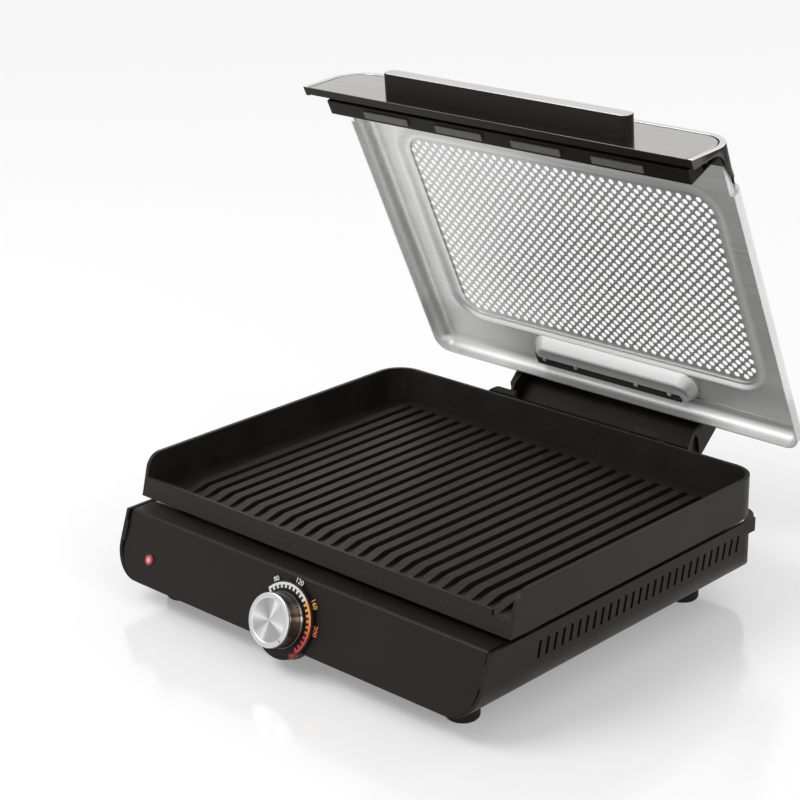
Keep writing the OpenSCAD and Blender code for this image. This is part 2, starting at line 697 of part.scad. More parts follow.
module terminal_block() color([0.9, 0.88, 0.8]) place() translate([terminal_x, terminal_y,
    z_floor + floor_t]) difference() {
    cube([36, 16, 14]);
    for (i = [0:2]) translate([6 + 12 * i, 8, 9]) cylinder(r = 2.4, h = 10);
}

module power_inlet() color([0.08, 0.08, 0.08]) place() translate([inlet_x, y_back, z_inlet]) {
    lip = 3;
    socket_wall = 2;
    difference() {
        union() {
            translate([-inlet_w / 2, -inlet_d, -inlet_h / 2]) cube([inlet_w, inlet_d + eps, inlet_h]);
            translate([-inlet_w / 2 - lip, 0, -inlet_h / 2 - lip]) cube([inlet_w + 2 * lip, 2.4,
                inlet_h + 2 * lip]);
        }
        translate([socket_wall - inlet_w / 2, socket_wall - inlet_d, socket_wall - inlet_h / 2])
            cube([inlet_w - 2 * socket_wall, inlet_d + 10, inlet_h - 2 * socket_wall]);
    }
    for (x = [-7, 0, 7]) translate([x - 1, socket_wall - inlet_d - eps, 0.4 + (x == 0 ? 1.2 : 0)])
        cube([2, inlet_d - 3, 4]);
}
module inlet_wires() color([0.3, 0.25, 0.2]) place() {
    for (i = [0, 1]) {
        x = terminal_x + 6 + 12 * i;
        wire([[x, y_back - inlet_d - 0.1, z_inlet - 3], [x, y_back - inlet_d - 8, z_inlet - 3],
            [x, terminal_y + 20, z_wire + 8], [x, terminal_y + 16.1, z_wire + 8]], 1.4);
    }
}
module heater_wires() color([0.8, 0.75, 0.65]) place() {
    y_stat = front_y(z_dial) + (stat_back + stat_d) * cos(front_lean);
    z_stat = z_dial - (stat_back + stat_d) * sin(front_lean);
    z_run = z_wire + 7.4;      // clears the bosses in the floor
    // thermostat to block, and the element's two ends to block
    for (s = [-1, 1]) {
        x = terminal_x + 13 + 7 * s;
        wire([[s * 11, y_stat + 0.2, z_stat], [s * 11, y_stat + 6, z_stat - 2], [s * 11, y_stat + 14,
            z_run],
            [x, 40, z_run], [x, 60, z_wire + 1], [x, terminal_y - 0.1, z_wire + 1]], 1.3);
    }
    wire([[drop_x, run_first, z_tube_end - 0.1], [drop_x, run_first, z_tube_end - 5],
        [terminal_x + 30, run_first + 30, z_wire + 1], [terminal_x + 30, terminal_y - 0.1, z_wire + 1]],
            1.3);
    translate([drop_x, run_first + 3 * run_pitch, z_floor + floor_t + 9.1])
        cylinder(r = 1.3, h = z_tube_end - z_floor - floor_t - 9.2);
}
module pilot_lens() color([0.9, 0.1, 0.12]) place() on_front(-pilot_x, z_pilot) translate([0, 0, -panel_t])
    cylinder(r = pilot_r, h = panel_t + 0.6);
module pilot_lamp() color([0.85, 0.85, 0.8]) place() on_front(-pilot_x, z_pilot) {
    translate([0, 0, -panel_t - 10]) cylinder(r = 2.5, h = 9.8);
    difference() {
        translate([-7, -6, -panel_t - 1.4]) cube([14, 12, 1.4]);
        translate([0, 0, -panel_t - 3]) cylinder(r = 2.6, h = 6);
    }
}
// the boss behind the disc closes it where it hangs below the panel
module dial_disc() color([0.07, 0.07, 0.07]) place() difference() {
    union() {
        on_front(0, z_dial) cylinder(r = dial_r, h = dial_t);
        difference() {
            on_front(0, z_dial) translate([0, 0, -7]) cylinder(r = dial_r, h = 7 + eps);
            translate([-50, -100, z_floor - fit]) cube([100, 200, 100]);
            translate([-50, front_y(z_floor) + 5, 0]) cube([100, 100, 100]);
        }
    }
    on_front(0, z_dial) translate([0, 0, -1]) cylinder(r = shaft_r + 1, h = dial_t + 2);
}
module control_knob() color([0.55, 0.55, 0.56]) place() on_front(0, z_dial) difference() {
    translate([0, 0, knob_z]) rotate_extrude() difference() {
        polygon([[0, 0], [knob_r, 0], [knob_r, 1.6], [knob_r - 0.6, 2], [knob_r - 0.8, knob_l], [0,
            knob_l]]);
        polygon([[7, -1], [knob_r - 2.5, -1], [knob_r - 2.8, knob_l - 2], [7, knob_l - 2]]);
    }
    cylinder(r = shaft_r + pin_clear, h = knob_z + knob_l - 3);
}
module knob_cap() color([0.82, 0.82, 0.83]) place() on_front(0, z_dial) translate([0, 0, knob_z + knob_l])
    rotate_extrude() polygon([[0, 0], [knob_r - 0.9, 0], [knob_r - 1, knob_cap_t - 0.4], [knob_r - 1.4,
        knob_cap_t],
        [0, knob_cap_t]]);
module thermostat_shaft() color([0.75, 0.75, 0.75]) place() on_front(0, z_dial) translate([0, 0,
    -stat_back - 6.5])
    cylinder(r = shaft_r, h = stat_back + 6.5 + knob_z + knob_l - 3.1);

// ---- cooking plate -------------------------------------------------------------------------

nose_y0 = (plate_h - nose_r) * tan(plate_lean) + nose_r / cos(plate_lean);   // centre of the nose's arc
z_lip = z_plate + lip_h;
y_lip_in = nose_y(z_plate + plate_floor) + lip_t;
lip_corner_r = 10;
ramp_l = 16;

module plate_side(w) {
    across(w) polygon(concat([[0, z_plate]],
        arc_points([nose_y0, z_plate + plate_h - nose_r], nose_r, 180 - plate_lean, 90, 10),
        [[plate_d, z_plate + plate_h], [plate_d - plate_h * tan(back_lean), z_plate]]));
}
module cooking_plate() color([0.09, 0.085, 0.08]) place() {
    z_top = z_plate + plate_h + 5;
    z_in = z_plate + plate_floor;
    difference() {
        intersection() {
            translate([0, 0, z_plate]) linear_extrude(plate_h) plan(plate_w, 0, plate_d, plate_corner_r);
            plate_side(plate_w + 2);
        }
        // the well
        intersection() {
            translate([0, 0, z_in]) linear_extrude(plate_h + 5)
                plan(plate_w - 2 * plate_wall, y_lip_in, plate_d - plate_wall, plate_corner_r - plate_wall,
                    lip_corner_r);
            across(plate_w) polygon([[y_lip_in, z_in - 1], [nose_y(z_lip) + lip_t, z_lip],
                [nose_y(z_lip) + lip_t, z_top], [plate_d - plate_wall, z_top], [plate_d - plate_wall,
                    z_plate + plate_h],
                [plate_d - plate_wall - (plate_h - plate_floor) * tan(back_lean), z_in - 1]]);
        }
        // the open front above the lip
        translate([plate_wall - plate_w / 2, -5, z_lip]) cube([plate_w - 2 * plate_wall, 35, plate_h]);
        // the pouring spout
        across_at(plate_w / 2 - plate_wall - spout_w, plate_w / 2 - plate_wall)
            polygon([[-5, z_lip - spout_drop - 1.5], [y_lip_in + 4, z_lip - spout_drop],
                [y_lip_in + lip_corner_r, z_lip + 5], [-5, z_lip + 5]]);
    }
    for (i = [0:ridge_count - 1]) {
        x = (i - (ridge_count - 1) / 2) * ridge_pitch;
        translate([x, 0, 0]) across(ridge_w) polygon([[ridge_front - ramp_l, z_in - eps],
            [ridge_front, z_in + ridge_h], [plate_d - 22, z_in + ridge_h], [plate_d - 16, z_in - eps]]);
    }
}

// ---- hinge ---------------------------------------------------------------------------------

washer_t = 1.6;
arm_in = tower_out + washer_t + 2 * fit;
arm_out = arm_in + bracket_t;
pin_in = tower_in + 4;
y_tower = y_back + 0.2;                  // front of the blade
y_block = y_back + bead_out + fit;       // front of the block behind the bead
y_block_back = y_pin - knuckle_r + 0.5;
z_tower_foot = z_floor + 7;
z_tower_screw = z_tower_foot + 8;
tower_screw_x = [tower_in + 7, tower_out - 7];

z_blade_top = z_pin + sqrt(pow(tower_reach, 2) - pow(y_pin - y_tower - tower_t, 2));
blade_r = 10;                            // rounding of the blade's outer shoulder
module blade() intersection() {
    across_at(tower_in, tower_out) intersection() {
        translate([y_pin, z_pin]) circle(tower_reach);
        translate([y_tower, z_rim + fit]) square([tower_t, z_blade_top - z_rim]);
    }
    along(y_tower - 1, y_tower + tower_t + 1) {
        translate([tower_in - 1, z_rim]) square([tower_out - tower_in + 2, z_blade_top - z_rim - blade_r]);
        translate([tower_in - 1, z_rim]) square([tower_out - tower_in + 1 - blade_r,
            z_blade_top - z_rim + 1]);
        translate([tower_out - blade_r, z_blade_top - blade_r]) circle(blade_r);
    }
}
module tower_block() {
    translate([y_block, z_tower_foot]) square([y_block_back - y_block, z_rim + 5 - z_tower_foot]);
    translate([y_tower, z_rim + fit]) square([y_block_back - y_tower, 5 - fit]);
    translate([y_tower, z_tower_foot]) square([y_block_back - y_tower,
        z_rim - bead_h - fit - z_tower_foot]);
    translate([y_block_back - eps, z_pin - knuckle_r]) square([y_pin - y_block_back, 2 * knuckle_r]);
    translate([y_pin, z_pin]) circle(knuckle_r);
}
module hinge_towers() color([0.12, 0.12, 0.12]) place() both_sides() difference() {
    union() {
        blade();
        across_at(tower_in, tower_out) tower_block();
    }
    translate([pin_in - 0.1, y_pin, z_pin]) rotate([0, 90, 0]) cylinder(r = pin_r + pin_clear, h = 60);
    for (x = tower_screw_x) translate([x, y_back - 1, z_tower_screw]) rotate([-90, 0, 0]) {
        cylinder(r = screw_r + screw_fit, h = 40);
        translate([0, 0, 6]) cylinder(r = screw_head_r + 0.5, h = 30);
    }
}
module tower_screws() color([0.6, 0.6, 0.62]) place() both_sides() for (x = tower_screw_x)
    translate([x, y_back + 5, z_tower_screw]) rotate([-90, 0, 0]) screw(5 + base_wall);
module hinge_pins() color([0.75, 0.75, 0.76]) place() both_sides() translate([pin_in, y_pin, z_pin])
    rotate([0, 90, 0]) cylinder(r = pin_r, h = arm_out + 2 - pin_in);
module pin_clips() color([0.5, 0.5, 0.5]) place() both_sides() translate([arm_out + 0.2, y_pin, z_pin])
    rotate([0, 90, 0]) difference() {
        cylinder(r = pin_r + 2.4, h = 0.8);
        translate([0, 0, -1]) cylinder(r = pin_r + 0.02, h = 3);
    }
module friction_washers() color([0.4, 0.35, 0.25]) place() both_sides()
    translate([tower_out + 0.1, y_pin, z_pin]) rotate([0, 90, 0]) difference() {
        cylinder(r = knuckle_r - 1, h = washer_t);
        translate([0, 0, -1]) cylinder(r = pin_r + 0.1, h = 5);
    }

// ---- lid, drawn closed ---------------------------------------------------------------------

y_joggle = lid_front + joggle_d;
cheek_t = plate_wall + fit;      // cheeks hang just inside the plate's walls
joggle_in = cheek_t + fit;
joggle_drop = 5.5;
y_pocket0 = plate_d - pocket_front;
y_pocket1 = plate_d - pocket_back;
z_screen = z_lid_top - sheet_t + screen_rise;
bolt_x = [30, 62];
y_bolt = y_pocket1 - 8.2;
foot_y0 = y_pocket0 + 9;

// half of the pressing's section from the corner's centre outward, as a solid or as a skin
module edge_solid(r, h, roll) {
    intersection() {
        square([r, h]);
        union() {
            square([r, h - roll]);
            square([r - roll, h]);
            translate([r - roll, h - roll]) circle(roll);
        }
    }
}
module edge_skin() difference() {
    edge_solid(lid_corner_r, lid_h, lid_roll);
    translate([-eps, -eps]) edge_solid(lid_corner_r - sheet_t + eps, lid_h - sheet_t + eps,
        lid_roll - sheet_t);
}
module tray_skin(w, h, roll) difference() {
    hood_section(w, h, roll);
    translate([0, -eps]) hood_section(w - 2 * sheet_t, h - sheet_t + eps, roll - sheet_t);
}
module rounded(w, d, r) {
    translate([r - w / 2, -d / 2]) square([w - 2 * r, d]);
    translate([-w / 2, r - d / 2]) square([w, d - 2 * r]);
    for (sx = [-1, 1], sy = [-1, 1]) translate([sx * (w / 2 - r), sy * (d / 2 - r)]) circle(r);
}
module lid_shell() color([0.75, 0.75, 0.75]) lid_pose() {
    yc = plate_d - lid_corner_r;
    difference() {
        union() {
            translate([0, 0, z_lid]) {
                along(y_joggle, yc) tray_skin(plate_w, lid_h, lid_roll);
                translate([0, yc, 0]) across(plate_w - 2 * lid_corner_r) edge_skin();
                for (sx = [0, 1]) mirror([sx, 0, 0]) translate([plate_w / 2 - lid_corner_r, yc, 0])
                    rotate_extrude(angle = 90) edge_skin();
                // stepped-in front that the trim covers
                along(lid_front, y_joggle + eps)
                    tray_skin(plate_w - 2 * joggle_in, lid_h - joggle_drop, lid_roll - 3);
                along(lid_front, lid_front + sheet_t)
                    hood_section(plate_w - 2 * joggle_in, lid_h - joggle_drop, lid_roll - 3);
                along(y_joggle, y_joggle + sheet_t) difference() {
                    hood_section(plate_w, lid_h, lid_roll);
                    translate([0, -eps]) hood_section(plate_w - 2 * joggle_in - 2 * sheet_t,
                        lid_h - joggle_drop - sheet_t + eps, lid_roll - 3 - sheet_t);
                }
            }
        }
        translate([0, window_front + window_d / 2, z_lid + lid_h / 2]) linear_extrude(lid_h)
            rounded(window_w + 2 * bevel_w, window_d + 2 * bevel_w, window_r);
        translate([0, 0, z_lid + lid_h / 2]) linear_extrude(lid_h) pocket_plan(pocket_half, 0);
    }
    // bevel that lifts the screen
    translate([0, window_front + window_d / 2, 0]) ring(window_w / 2 + bevel_w, window_d / 2 + bevel_w,
        window_r)
        polygon([[window_r + eps, z_lid_top - sheet_t], [window_r + eps, z_lid_top],
            [window_r - bevel_w + 1.2 * sheet_t, z_screen], [window_r - bevel_w, z_screen]]);
    // pressed pocket for the hinge bracket
    difference() {
        pocket_solid(pocket_half + eps, 0);
        pocket_solid(pocket_half - sheet_t, sheet_t);
        for (x = bolt_x, s = [-1, 1]) translate([s * x, y_bolt, z_lid]) cylinder(r = screw_r + screw_fit,
            h = 30);
    }
}
module pocket_plan(half, t) translate([0, (y_pocket0 + y_pocket1) / 2])
    rounded(2 * half, y_pocket1 - y_pocket0 + 2 * (half - pocket_half), pocket_r - t);
module pocket_solid(half, t) {
    z0 = z_lid + pocket_floor + t;
    intersection() {
        across(2 * half) polygon([[y_pocket0 - eps + t / 2, z_lid_top - sheet_t + 2 * t],
            [y_pocket0 + 8 + t / 2, z0], [y_pocket1 + eps, z0], [y_pocket1 + eps, z_lid_top + t],
            [y_pocket0 - eps + t / 2, z_lid_top + t]]);
        translate([0, 0, z_lid]) linear_extrude(2 * lid_h) pocket_plan(half, t);
    }
}
module perforated_screen() color([0.7, 0.7, 0.7]) lid_pose()
    translate([0, window_front + window_d / 2, z_screen]) linear_extrude(screen_t)
        rounded(window_w + 2.4 * sheet_t, window_d + 2.4 * sheet_t, window_r - bevel_w + 1.2 * sheet_t);

// ---- lid front trim ------------------------------------------------------------------------

z_trim_top = z_toe + trim_h;
y_baffle = nose_y(z_lip) + lip_t + 1;
z_roof = z_plate + slot_roof;
lean_wall = trim_wall / cos(trim_lean);
cover_under = 2.7;
trim_top = [[trim_y(z_trim_top), z_trim_top], [trim_y(z_trim_top) + 6, z_trim_top + 1.5],
    [y_joggle - fit, z_lid_top]];
top_slope = atan2(z_lid_top - trim_top[1][1], y_joggle - fit - trim_top[1][0]);
face_l = trim_h / cos(trim_lean);
seat_w = 8;
handle_screw_x = [40, 92];
handle_screw_y = handle_lift + handle_t - 3.6;

module trim_middle() {
    polygon(concat([[y_toe, z_toe]], trim_top, [
        [y_joggle - fit, z_lid_top - cover_under], [y_joggle - seat_w, z_lid_top - cover_under],
        [trim_y(z_trim_top) + 7.6, z_trim_top + 1.5 - cover_under],
        [trim_y(z_trim_top - 2.5) + lean_wall, z_trim_top - 2.5],
        [trim_y(z_roof + 2.2) + lean_wall, z_roof + 2.2],
        [y_baffle - fit, z_roof + 2.2], [y_baffle - fit, z_roof],
        [nose_y(z_lip) - 0.8, z_roof], [y_toe + toe_w, z_toe]]));
}
module trim_cheek() {
    arch = 1.2;
    polygon(concat([[y_toe, z_toe]], trim_top, [
        [y_joggle - fit, z_lid + lid_wall_h + 1.5], [y_joggle - 12.6, z_lid + lid_wall_h],
        [nose_y0 + 4, z_lid + 1.8]],
        arc_points([nose_y0, z_plate + plate_h - nose_r], nose_r + arch, 90, 180 - plate_lean, 8),
        [[nose_y(z_toe) - arch / cos(plate_lean), z_toe]]));
}
module face_outline(grow) {
    w = plate_w - 2 * face_margin + 2 * grow;
    intersection() {
        rounded(w, 2 * (face_l - face_margin + grow), trim_corner_r + 3 + grow);
        translate([-w / 2, face_margin - grow]) square([w, face_l]);
    }
}
module lid_trim() color([0.16, 0.15, 0.145]) lid_pose() difference() {
    intersection() {
        union() {
            across(plate_w - 2 * cheek_t + 2 * eps) trim_middle();
            both_sides() across_at(plate_w / 2 - cheek_t, plate_w / 2) trim_cheek();
        }
        translate([0, y_joggle - fit, z_lid_top]) rotate([top_slope, 0, 0]) along(-2 * trim_h, fit)
            translate([0, -2 * trim_h]) hood_section(plate_w, 2 * trim_h + fit / 2, trim_corner_r);
    }
    on_trim() translate([0, 0, -face_t - 0.05]) linear_extrude(5) face_outline(0.15);
    for (x = handle_screw_x, s = [-1, 1]) on_trim() translate([s * x, handle_screw_y, -10])
        cylinder(r = screw_r + screw_fit, h = 20);
}
module trim_face() color([0.35, 0.35, 0.35]) lid_pose() difference() {
    on_trim() translate([0, 0, -face_t]) linear_extrude(face_t) face_outline(0);
    for (x = handle_screw_x, s = [-1, 1]) on_trim() translate([s * x, handle_screw_y, -10])
        cylinder(r = screw_r + screw_fit, h = 20);
}
module trim_baffle() color([0.1, 0.1, 0.1]) lid_pose() {
    w = 2 * (plate_w / 2 - plate_wall - lip_corner_r + 1);
    z0 = z_plate + baffle_drop;
    y1 = y_baffle + baffle_d;
    t = 2;
    z_leg = z_lid + lid_h - joggle_drop - 0.8;
    z_end = z_roof + 6;
    across(w) polygon([[y_baffle, z0], [y1, z0], [y1, z_leg], [y1 - t, z_leg], [y1 - t, z0 + t],
        [y_baffle + t, z0 + t], [y_baffle + t, z_end], [y_baffle, z_end]]);
    both_sides() across_at(w / 2 - t, w / 2) translate([y_baffle, z0]) square([baffle_d, z_end - z0]);
}
module lip_bumpers() color([0.3, 0.3, 0.3]) lid_pose()
    for (i = [-1.5:1:1.5]) translate([i * bumper_pitch - bumper_l / 2, y_baffle + (baffle_d - bumper_d) / 2,
        z_plate + baffle_drop - bumper_t]) cube([bumper_l, bumper_d, bumper_t]);

// ---- handle --------------------------------------------------------------------------------

module handle_outline(inset) translate([0, handle_lift + handle_t / 2])
    rounded(handle_l - 2 * inset, handle_t - 2 * inset, handle_r - inset);
module handle_bar() color([0.11, 0.1, 0.1]) lid_pose() on_trim() difference() {
    linear_extrude(handle_out - handle_plate_t) handle_outline(0);
    for (x = handle_screw_x, s = [-1, 1]) translate([s * x, handle_screw_y, -1])
        cylinder(r = screw_r + screw_fit, h = 9.2);
}
module handle_plate() color([0.85, 0.85, 0.85]) lid_pose() on_trim()
    translate([0, 0, handle_out - handle_plate_t]) linear_extrude(handle_plate_t) handle_outline(0.6);
module handle_screws() color([0.6, 0.6, 0.62]) lid_pose()
    for (x = handle_screw_x, s = [-1, 1]) on_trim() translate([s * x, handle_screw_y, -trim_wall])
        rotate([180, 0, 0]) screw(trim_wall + 8);

// ---- lid bracket and hood ------------------------------------------------------------------

z_foot_plate = z_lid + pocket_floor + sheet_t;
z_top_plate = z_lid_top + fit;
top_plate_y0 = y_pocket1 - sheet_t - fit - bracket_t;
top_plate_y1 = plate_d + 3;

module hinge_bracket() color([0.5, 0.5, 0.5]) lid_pose() difference() {
    union() {
        across(2 * (pocket_half - pocket_r)) polygon([[foot_y0, z_foot_plate], [top_plate_y0 + bracket_t,
            z_foot_plate],
            [top_plate_y0 + bracket_t, z_top_plate + eps], [top_plate_y0, z_top_plate + eps],
            [top_plate_y0, z_foot_plate + bracket_t], [foot_y0, z_foot_plate + bracket_t]]);
        across(2 * arm_out) translate([top_plate_y0, z_top_plate]) square([top_plate_y1 - top_plate_y0,
            bracket_t]);
        both_sides() across_at(arm_in, arm_out) {
            translate([y_pin, z_pin]) circle(knuckle_r);
            translate([plate_d, z_lid]) polygon([[top_plate_y1 - plate_d, lid_h + fit + bracket_t],
                [2, lid_h + fit + bracket_t], [2, 1.4], [4, -9.6], [hinge_back - knuckle_r - 0.5,
                    13 - hinge_drop],
                [hinge_back - knuckle_r, -hinge_drop], [hinge_back, 1 - hinge_drop - knuckle_r],
                [hinge_back + knuckle_r, -hinge_drop], [hinge_back - 5, -17], [16.9, -13.6], [16.2, -10],
                    [11, 7], [8, 11.5]]);
        }
    }
    translate([-arm_out - 5, y_pin, z_pin]) rotate([0, 90, 0]) cylinder(r = pin_r + pin_clear,
        h = 2 * arm_out + 10);
    for (x = bolt_x, s = [-1, 1]) translate([s * x, y_bolt, z_lid]) cylinder(r = screw_r + screw_fit,
        h = 12);
    for (x = hood_screw_x, s = [-1, 1]) translate([s * x, hood_screw_y, z_lid + 10])
        cylinder(r = screw_r + screw_fit, h = 12);
}
module bracket_bolts() color([0.6, 0.6, 0.62]) lid_pose()
    for (x = bolt_x, s = [-1, 1]) translate([s * x, y_bolt, z_foot_plate + bracket_t])
        screw(bracket_t + sheet_t - 0.1);

hood_screw_x = [35, 78];
hood_screw_y = plate_d - 2;
hood_head_z = z_lid + hood_rise - screw_head_t;
function unit(v) = v / norm(v);
function right_of(a, b) = let (u = unit(b - a)) [u[1], -u[0]];
function inset(p, i, d) = i == 0 ? p[0] + d * right_of(p[0], p[1])
    : i == len(p) - 1 ? p[i] + d * right_of(p[i - 1], p[i])
    : let (n = right_of(p[i - 1], p[i]), m = unit(n + right_of(p[i], p[i + 1]))) p[i] + m * d / (m * n);

module hinge_hood() color([0.12, 0.12, 0.12]) lid_pose() {
    last = len(hood_outer) - 1;
    inner = [for (i = [last:-1:0]) inset(hood_outer, i, hood_wall)];
    hood_in = arm_out + fit;
    difference() {
        union() {
            across(2 * (hood_in + eps)) translate([plate_d, z_lid]) difference() {
                polygon(concat(hood_outer, inner));
                translate([-50, 0]) square([50, lid_h + fit]);
            }
            for (x = hood_screw_x, s = [-1, 1]) translate([s * x, hood_screw_y, z_top_plate + bracket_t])
                cylinder(r = screw_head_r + 1.5, h = hood_rise - lid_h - fit - bracket_t);
        }
        for (x = hood_screw_x, s = [-1, 1]) translate([s * x, hood_screw_y, hood_head_z]) {
            cylinder(r = screw_head_r + 0.3, h = 5);
            translate([0, 0, -10]) cylinder(r = screw_r + screw_fit, h = 12);
        }
    }
    both_sides() across_at(hood_in, hood_in + hood_wall) translate([plate_d, z_lid])
        polygon(concat(hood_outer, [[4.5, -10], [fit + 0.1, 0.6]],
            arc_points([-lid_roll, lid_h - lid_roll], lid_roll + fit, 0, 90, 8)));
}
module hood_screws() color([0.6, 0.6, 0.62]) lid_pose()
    for (x = hood_screw_x, s = [-1, 1]) translate([s * x, hood_screw_y, hood_head_z])
        screw(hood_head_z - z_top_plate);

base_shell();
front_panel();
back_cover();
bottom_cover();
cover_screws();
foot(0);  // foot_front_left
foot(1);  // foot_front_right
foot(2);  // foot_back_left
foot(3);  // foot_back_right
foot_screws();
reflector_tray();
tray_screws();
plate_pads();
heating_element();
element_cradles();
element_bushes();
temperature_probe();
probe_spring();
thermostat();
thermostat_bracket();
thermostat_screws();
thermal_fuse();
terminal_block();
power_inlet();
inlet_wires();
heater_wires();
pilot_lens();
pilot_lamp();
dial_disc();
hinge_towers();
tower_screws();
hinge_pins();
pin_clips();
friction_washers();
cooking_plate();
control_knob();
knob_cap();
thermostat_shaft();
lid_shell();
perforated_screen();
lid_trim();
trim_face();
trim_baffle();
lip_bumpers();
handle_bar();
handle_plate();
handle_screws();
hinge_bracket();
bracket_bolts();
hinge_hood();
hood_screws();
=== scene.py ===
import math

import bmesh
import bpy
from mathutils import Matrix, Vector


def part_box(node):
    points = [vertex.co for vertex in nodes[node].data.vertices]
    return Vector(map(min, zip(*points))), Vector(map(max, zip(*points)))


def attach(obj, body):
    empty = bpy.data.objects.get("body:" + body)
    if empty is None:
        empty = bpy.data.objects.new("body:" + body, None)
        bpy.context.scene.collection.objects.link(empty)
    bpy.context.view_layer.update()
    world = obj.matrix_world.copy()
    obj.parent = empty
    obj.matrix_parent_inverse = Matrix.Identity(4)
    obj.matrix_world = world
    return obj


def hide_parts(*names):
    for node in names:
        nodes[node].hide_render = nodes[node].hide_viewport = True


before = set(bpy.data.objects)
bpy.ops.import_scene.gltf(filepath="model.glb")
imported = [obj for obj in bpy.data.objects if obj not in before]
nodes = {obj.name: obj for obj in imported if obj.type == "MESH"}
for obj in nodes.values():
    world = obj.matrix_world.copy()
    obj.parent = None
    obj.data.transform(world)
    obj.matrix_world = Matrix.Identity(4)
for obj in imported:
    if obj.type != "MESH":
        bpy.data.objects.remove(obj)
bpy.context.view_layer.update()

# ---- camera --------------------------------------------------------------------------------
# A long lens at the height of someone standing at the counter, turned to the grill's right.
# Its turn, rise and roll say which way it points, and camera_at is where it stands, in metres.
camera_turn = math.radians(43.283)
camera_rise = math.radians(20.148)
camera_roll = math.radians(-0.611)
camera_at = Vector((0.96249, -1.08158, 0.67913))
back = Vector((math.sin(camera_turn) * math.cos(camera_rise),
               -math.cos(camera_turn) * math.cos(camera_rise), math.sin(camera_rise)))
level = (-back).cross(Vector((0, 0, 1))).normalized()
upward = level.cross(-back)
side = math.cos(camera_roll) * level + math.sin(camera_roll) * upward
top = -math.sin(camera_roll) * level + math.cos(camera_roll) * upward
lens = bpy.data.cameras.new("camera")
lens.sensor_width = 36                   # millimetres, like the focal length
lens.lens = 95.35
lens.clip_end = 50
camera = bpy.data.objects.new("camera", lens)
camera.matrix_world = Matrix((side, top, back)).transposed().to_4x4()
camera.matrix_world.translation = camera_at
bpy.context.scene.collection.objects.link(camera)
bpy.context.scene.camera = camera
bpy.context.scene.view_settings.view_transform = "Standard"

# ---- shell of the base ---------------------------------------------------------------------
# The lower housing is one deep trough of dark enamelled sheet: straight sides with slanted
# vents, a flat floor with a hatch, and corners rolled between them.


class Wire:
    """A socket of a shader tree. Arithmetic on it adds Math nodes."""

    def __init__(self, tree, socket=None):
        self.tree = tree
        self.socket = socket

    def node(self, kind, settings=None, inputs=None, output=0):
        made = self.tree.nodes.new(kind if "Node" in kind else "ShaderNode" + kind)
        for key, value in (settings or {}).items():
            if key == "stops":
                ramp = made.color_ramp
                while len(ramp.elements) < len(value):
                    ramp.elements.new(0.5)
                for element, (place, colour) in zip(ramp.elements, value):
                    element.position = place
                    element.color = (*colour, 1)
            else:
                setattr(made, key, value)
        for key, value in (inputs or {}).items():
            for part in value if isinstance(value, list) else [value]:
                if isinstance(part, Wire):
                    self.tree.links.new(part.socket, made.inputs[key])
                else:
                    made.inputs[key].default_value = part
        return Wire(self.tree, made.outputs[output])

    def math(self, operation, a, b=0.0, c=0.0):
        return self.node("Math", {"operation": operation}, {0: a, 1: b, 2: c})

    def __add__(self, other):
        return self.math("ADD", self, other)

    def __sub__(self, other):
        return self.math("SUBTRACT", self, other)

    def __rsub__(self, other):
        return self.math("SUBTRACT", other, self)

    def __mul__(self, other):
        return self.math("MULTIPLY", self, other)

    def __gt__(self, other):
        return self.math("GREATER_THAN", self, other)

    __radd__ = __add__
    __rmul__ = __mul__

    def spread(self, low, high, new_low=0.0, new_high=1.0):
        return self.node("MapRange", None, {"Value": self, "From Min": low, "From Max": high,
                                            "To Min": new_low, "To Max": new_high})

    def blend(self, first, second):
        """first where this mask is 0, second where it is 1; both are colours"""
        colours = [c if isinstance(c, Wire) else (*c, 1) for c in (first, second)]
        return self.node("Mix", {"data_type": "RGBA"}, {0: self, 6: colours[0], 7: colours[1]}, 2)

    def noise(self, scale, detail=3.0, stretch=(1, 1, 1)):
        place = self.node("TexCoord", None, None, "Object")
        place = self.node("Mapping", None, {"Vector": place, "Scale": stretch})
        return self.node("TexNoise", None, {"Vector": place, "Scale": scale, "Detail": detail}, 0)


def finish(name, **uniform):
    """a new material and the start of its tree; keywords set the surface's plain values"""
    material = bpy.data.materials.new(name)
    material.use_nodes = True
    tree = material.node_tree
    surface = tree.nodes["Principled BSDF"]
    for key, value in uniform.items():
        surface.inputs[key.replace("_", " ")].default_value = value
    material.diffuse_color = surface.inputs["Base Color"].default_value
    return material, Wire(tree), surface


def feed(wire, surface, socket):
    wire.tree.links.new(wire.socket, surface.inputs[socket])


def relief(start, surface, height, depth):
    """height, in parts of depth metres, raises the surface's shading"""
    bump = start.node("Bump", None, {"Height": height, "Distance": depth, "Strength": 1.0})
    feed(bump, surface, "Normal")


def dark_shell(name, colour, gloss, grain):
    """enamel or moulded plastic: nearly black, with a fine grain and faint uneven sheen"""
    material, start, surface = finish(name, Roughness=gloss, Specular_IOR_Level=0.16)
    cloud = start.noise(22)
    grit = start.noise(grain, 2)
    low = tuple(c * 0.86 for c in colour)
    high = tuple(c * 1.14 for c in colour)
    feed((cloud * 0.5 + grit * 0.5).spread(0.3, 0.7).blend(low, high), surface, "Base Color")
    feed(cloud.spread(0.3, 0.7, gloss - 0.05, gloss + 0.06), surface, "Roughness")
    relief(start, surface, grit, 0.00006)
    return material


def weigh(piece):
    """lets the large faces set the shading where they meet small ones"""
    normals = piece.modifiers.new("normals", "WEIGHTED_NORMAL")
    normals.keep_sharp = True
    normals.weight = 90


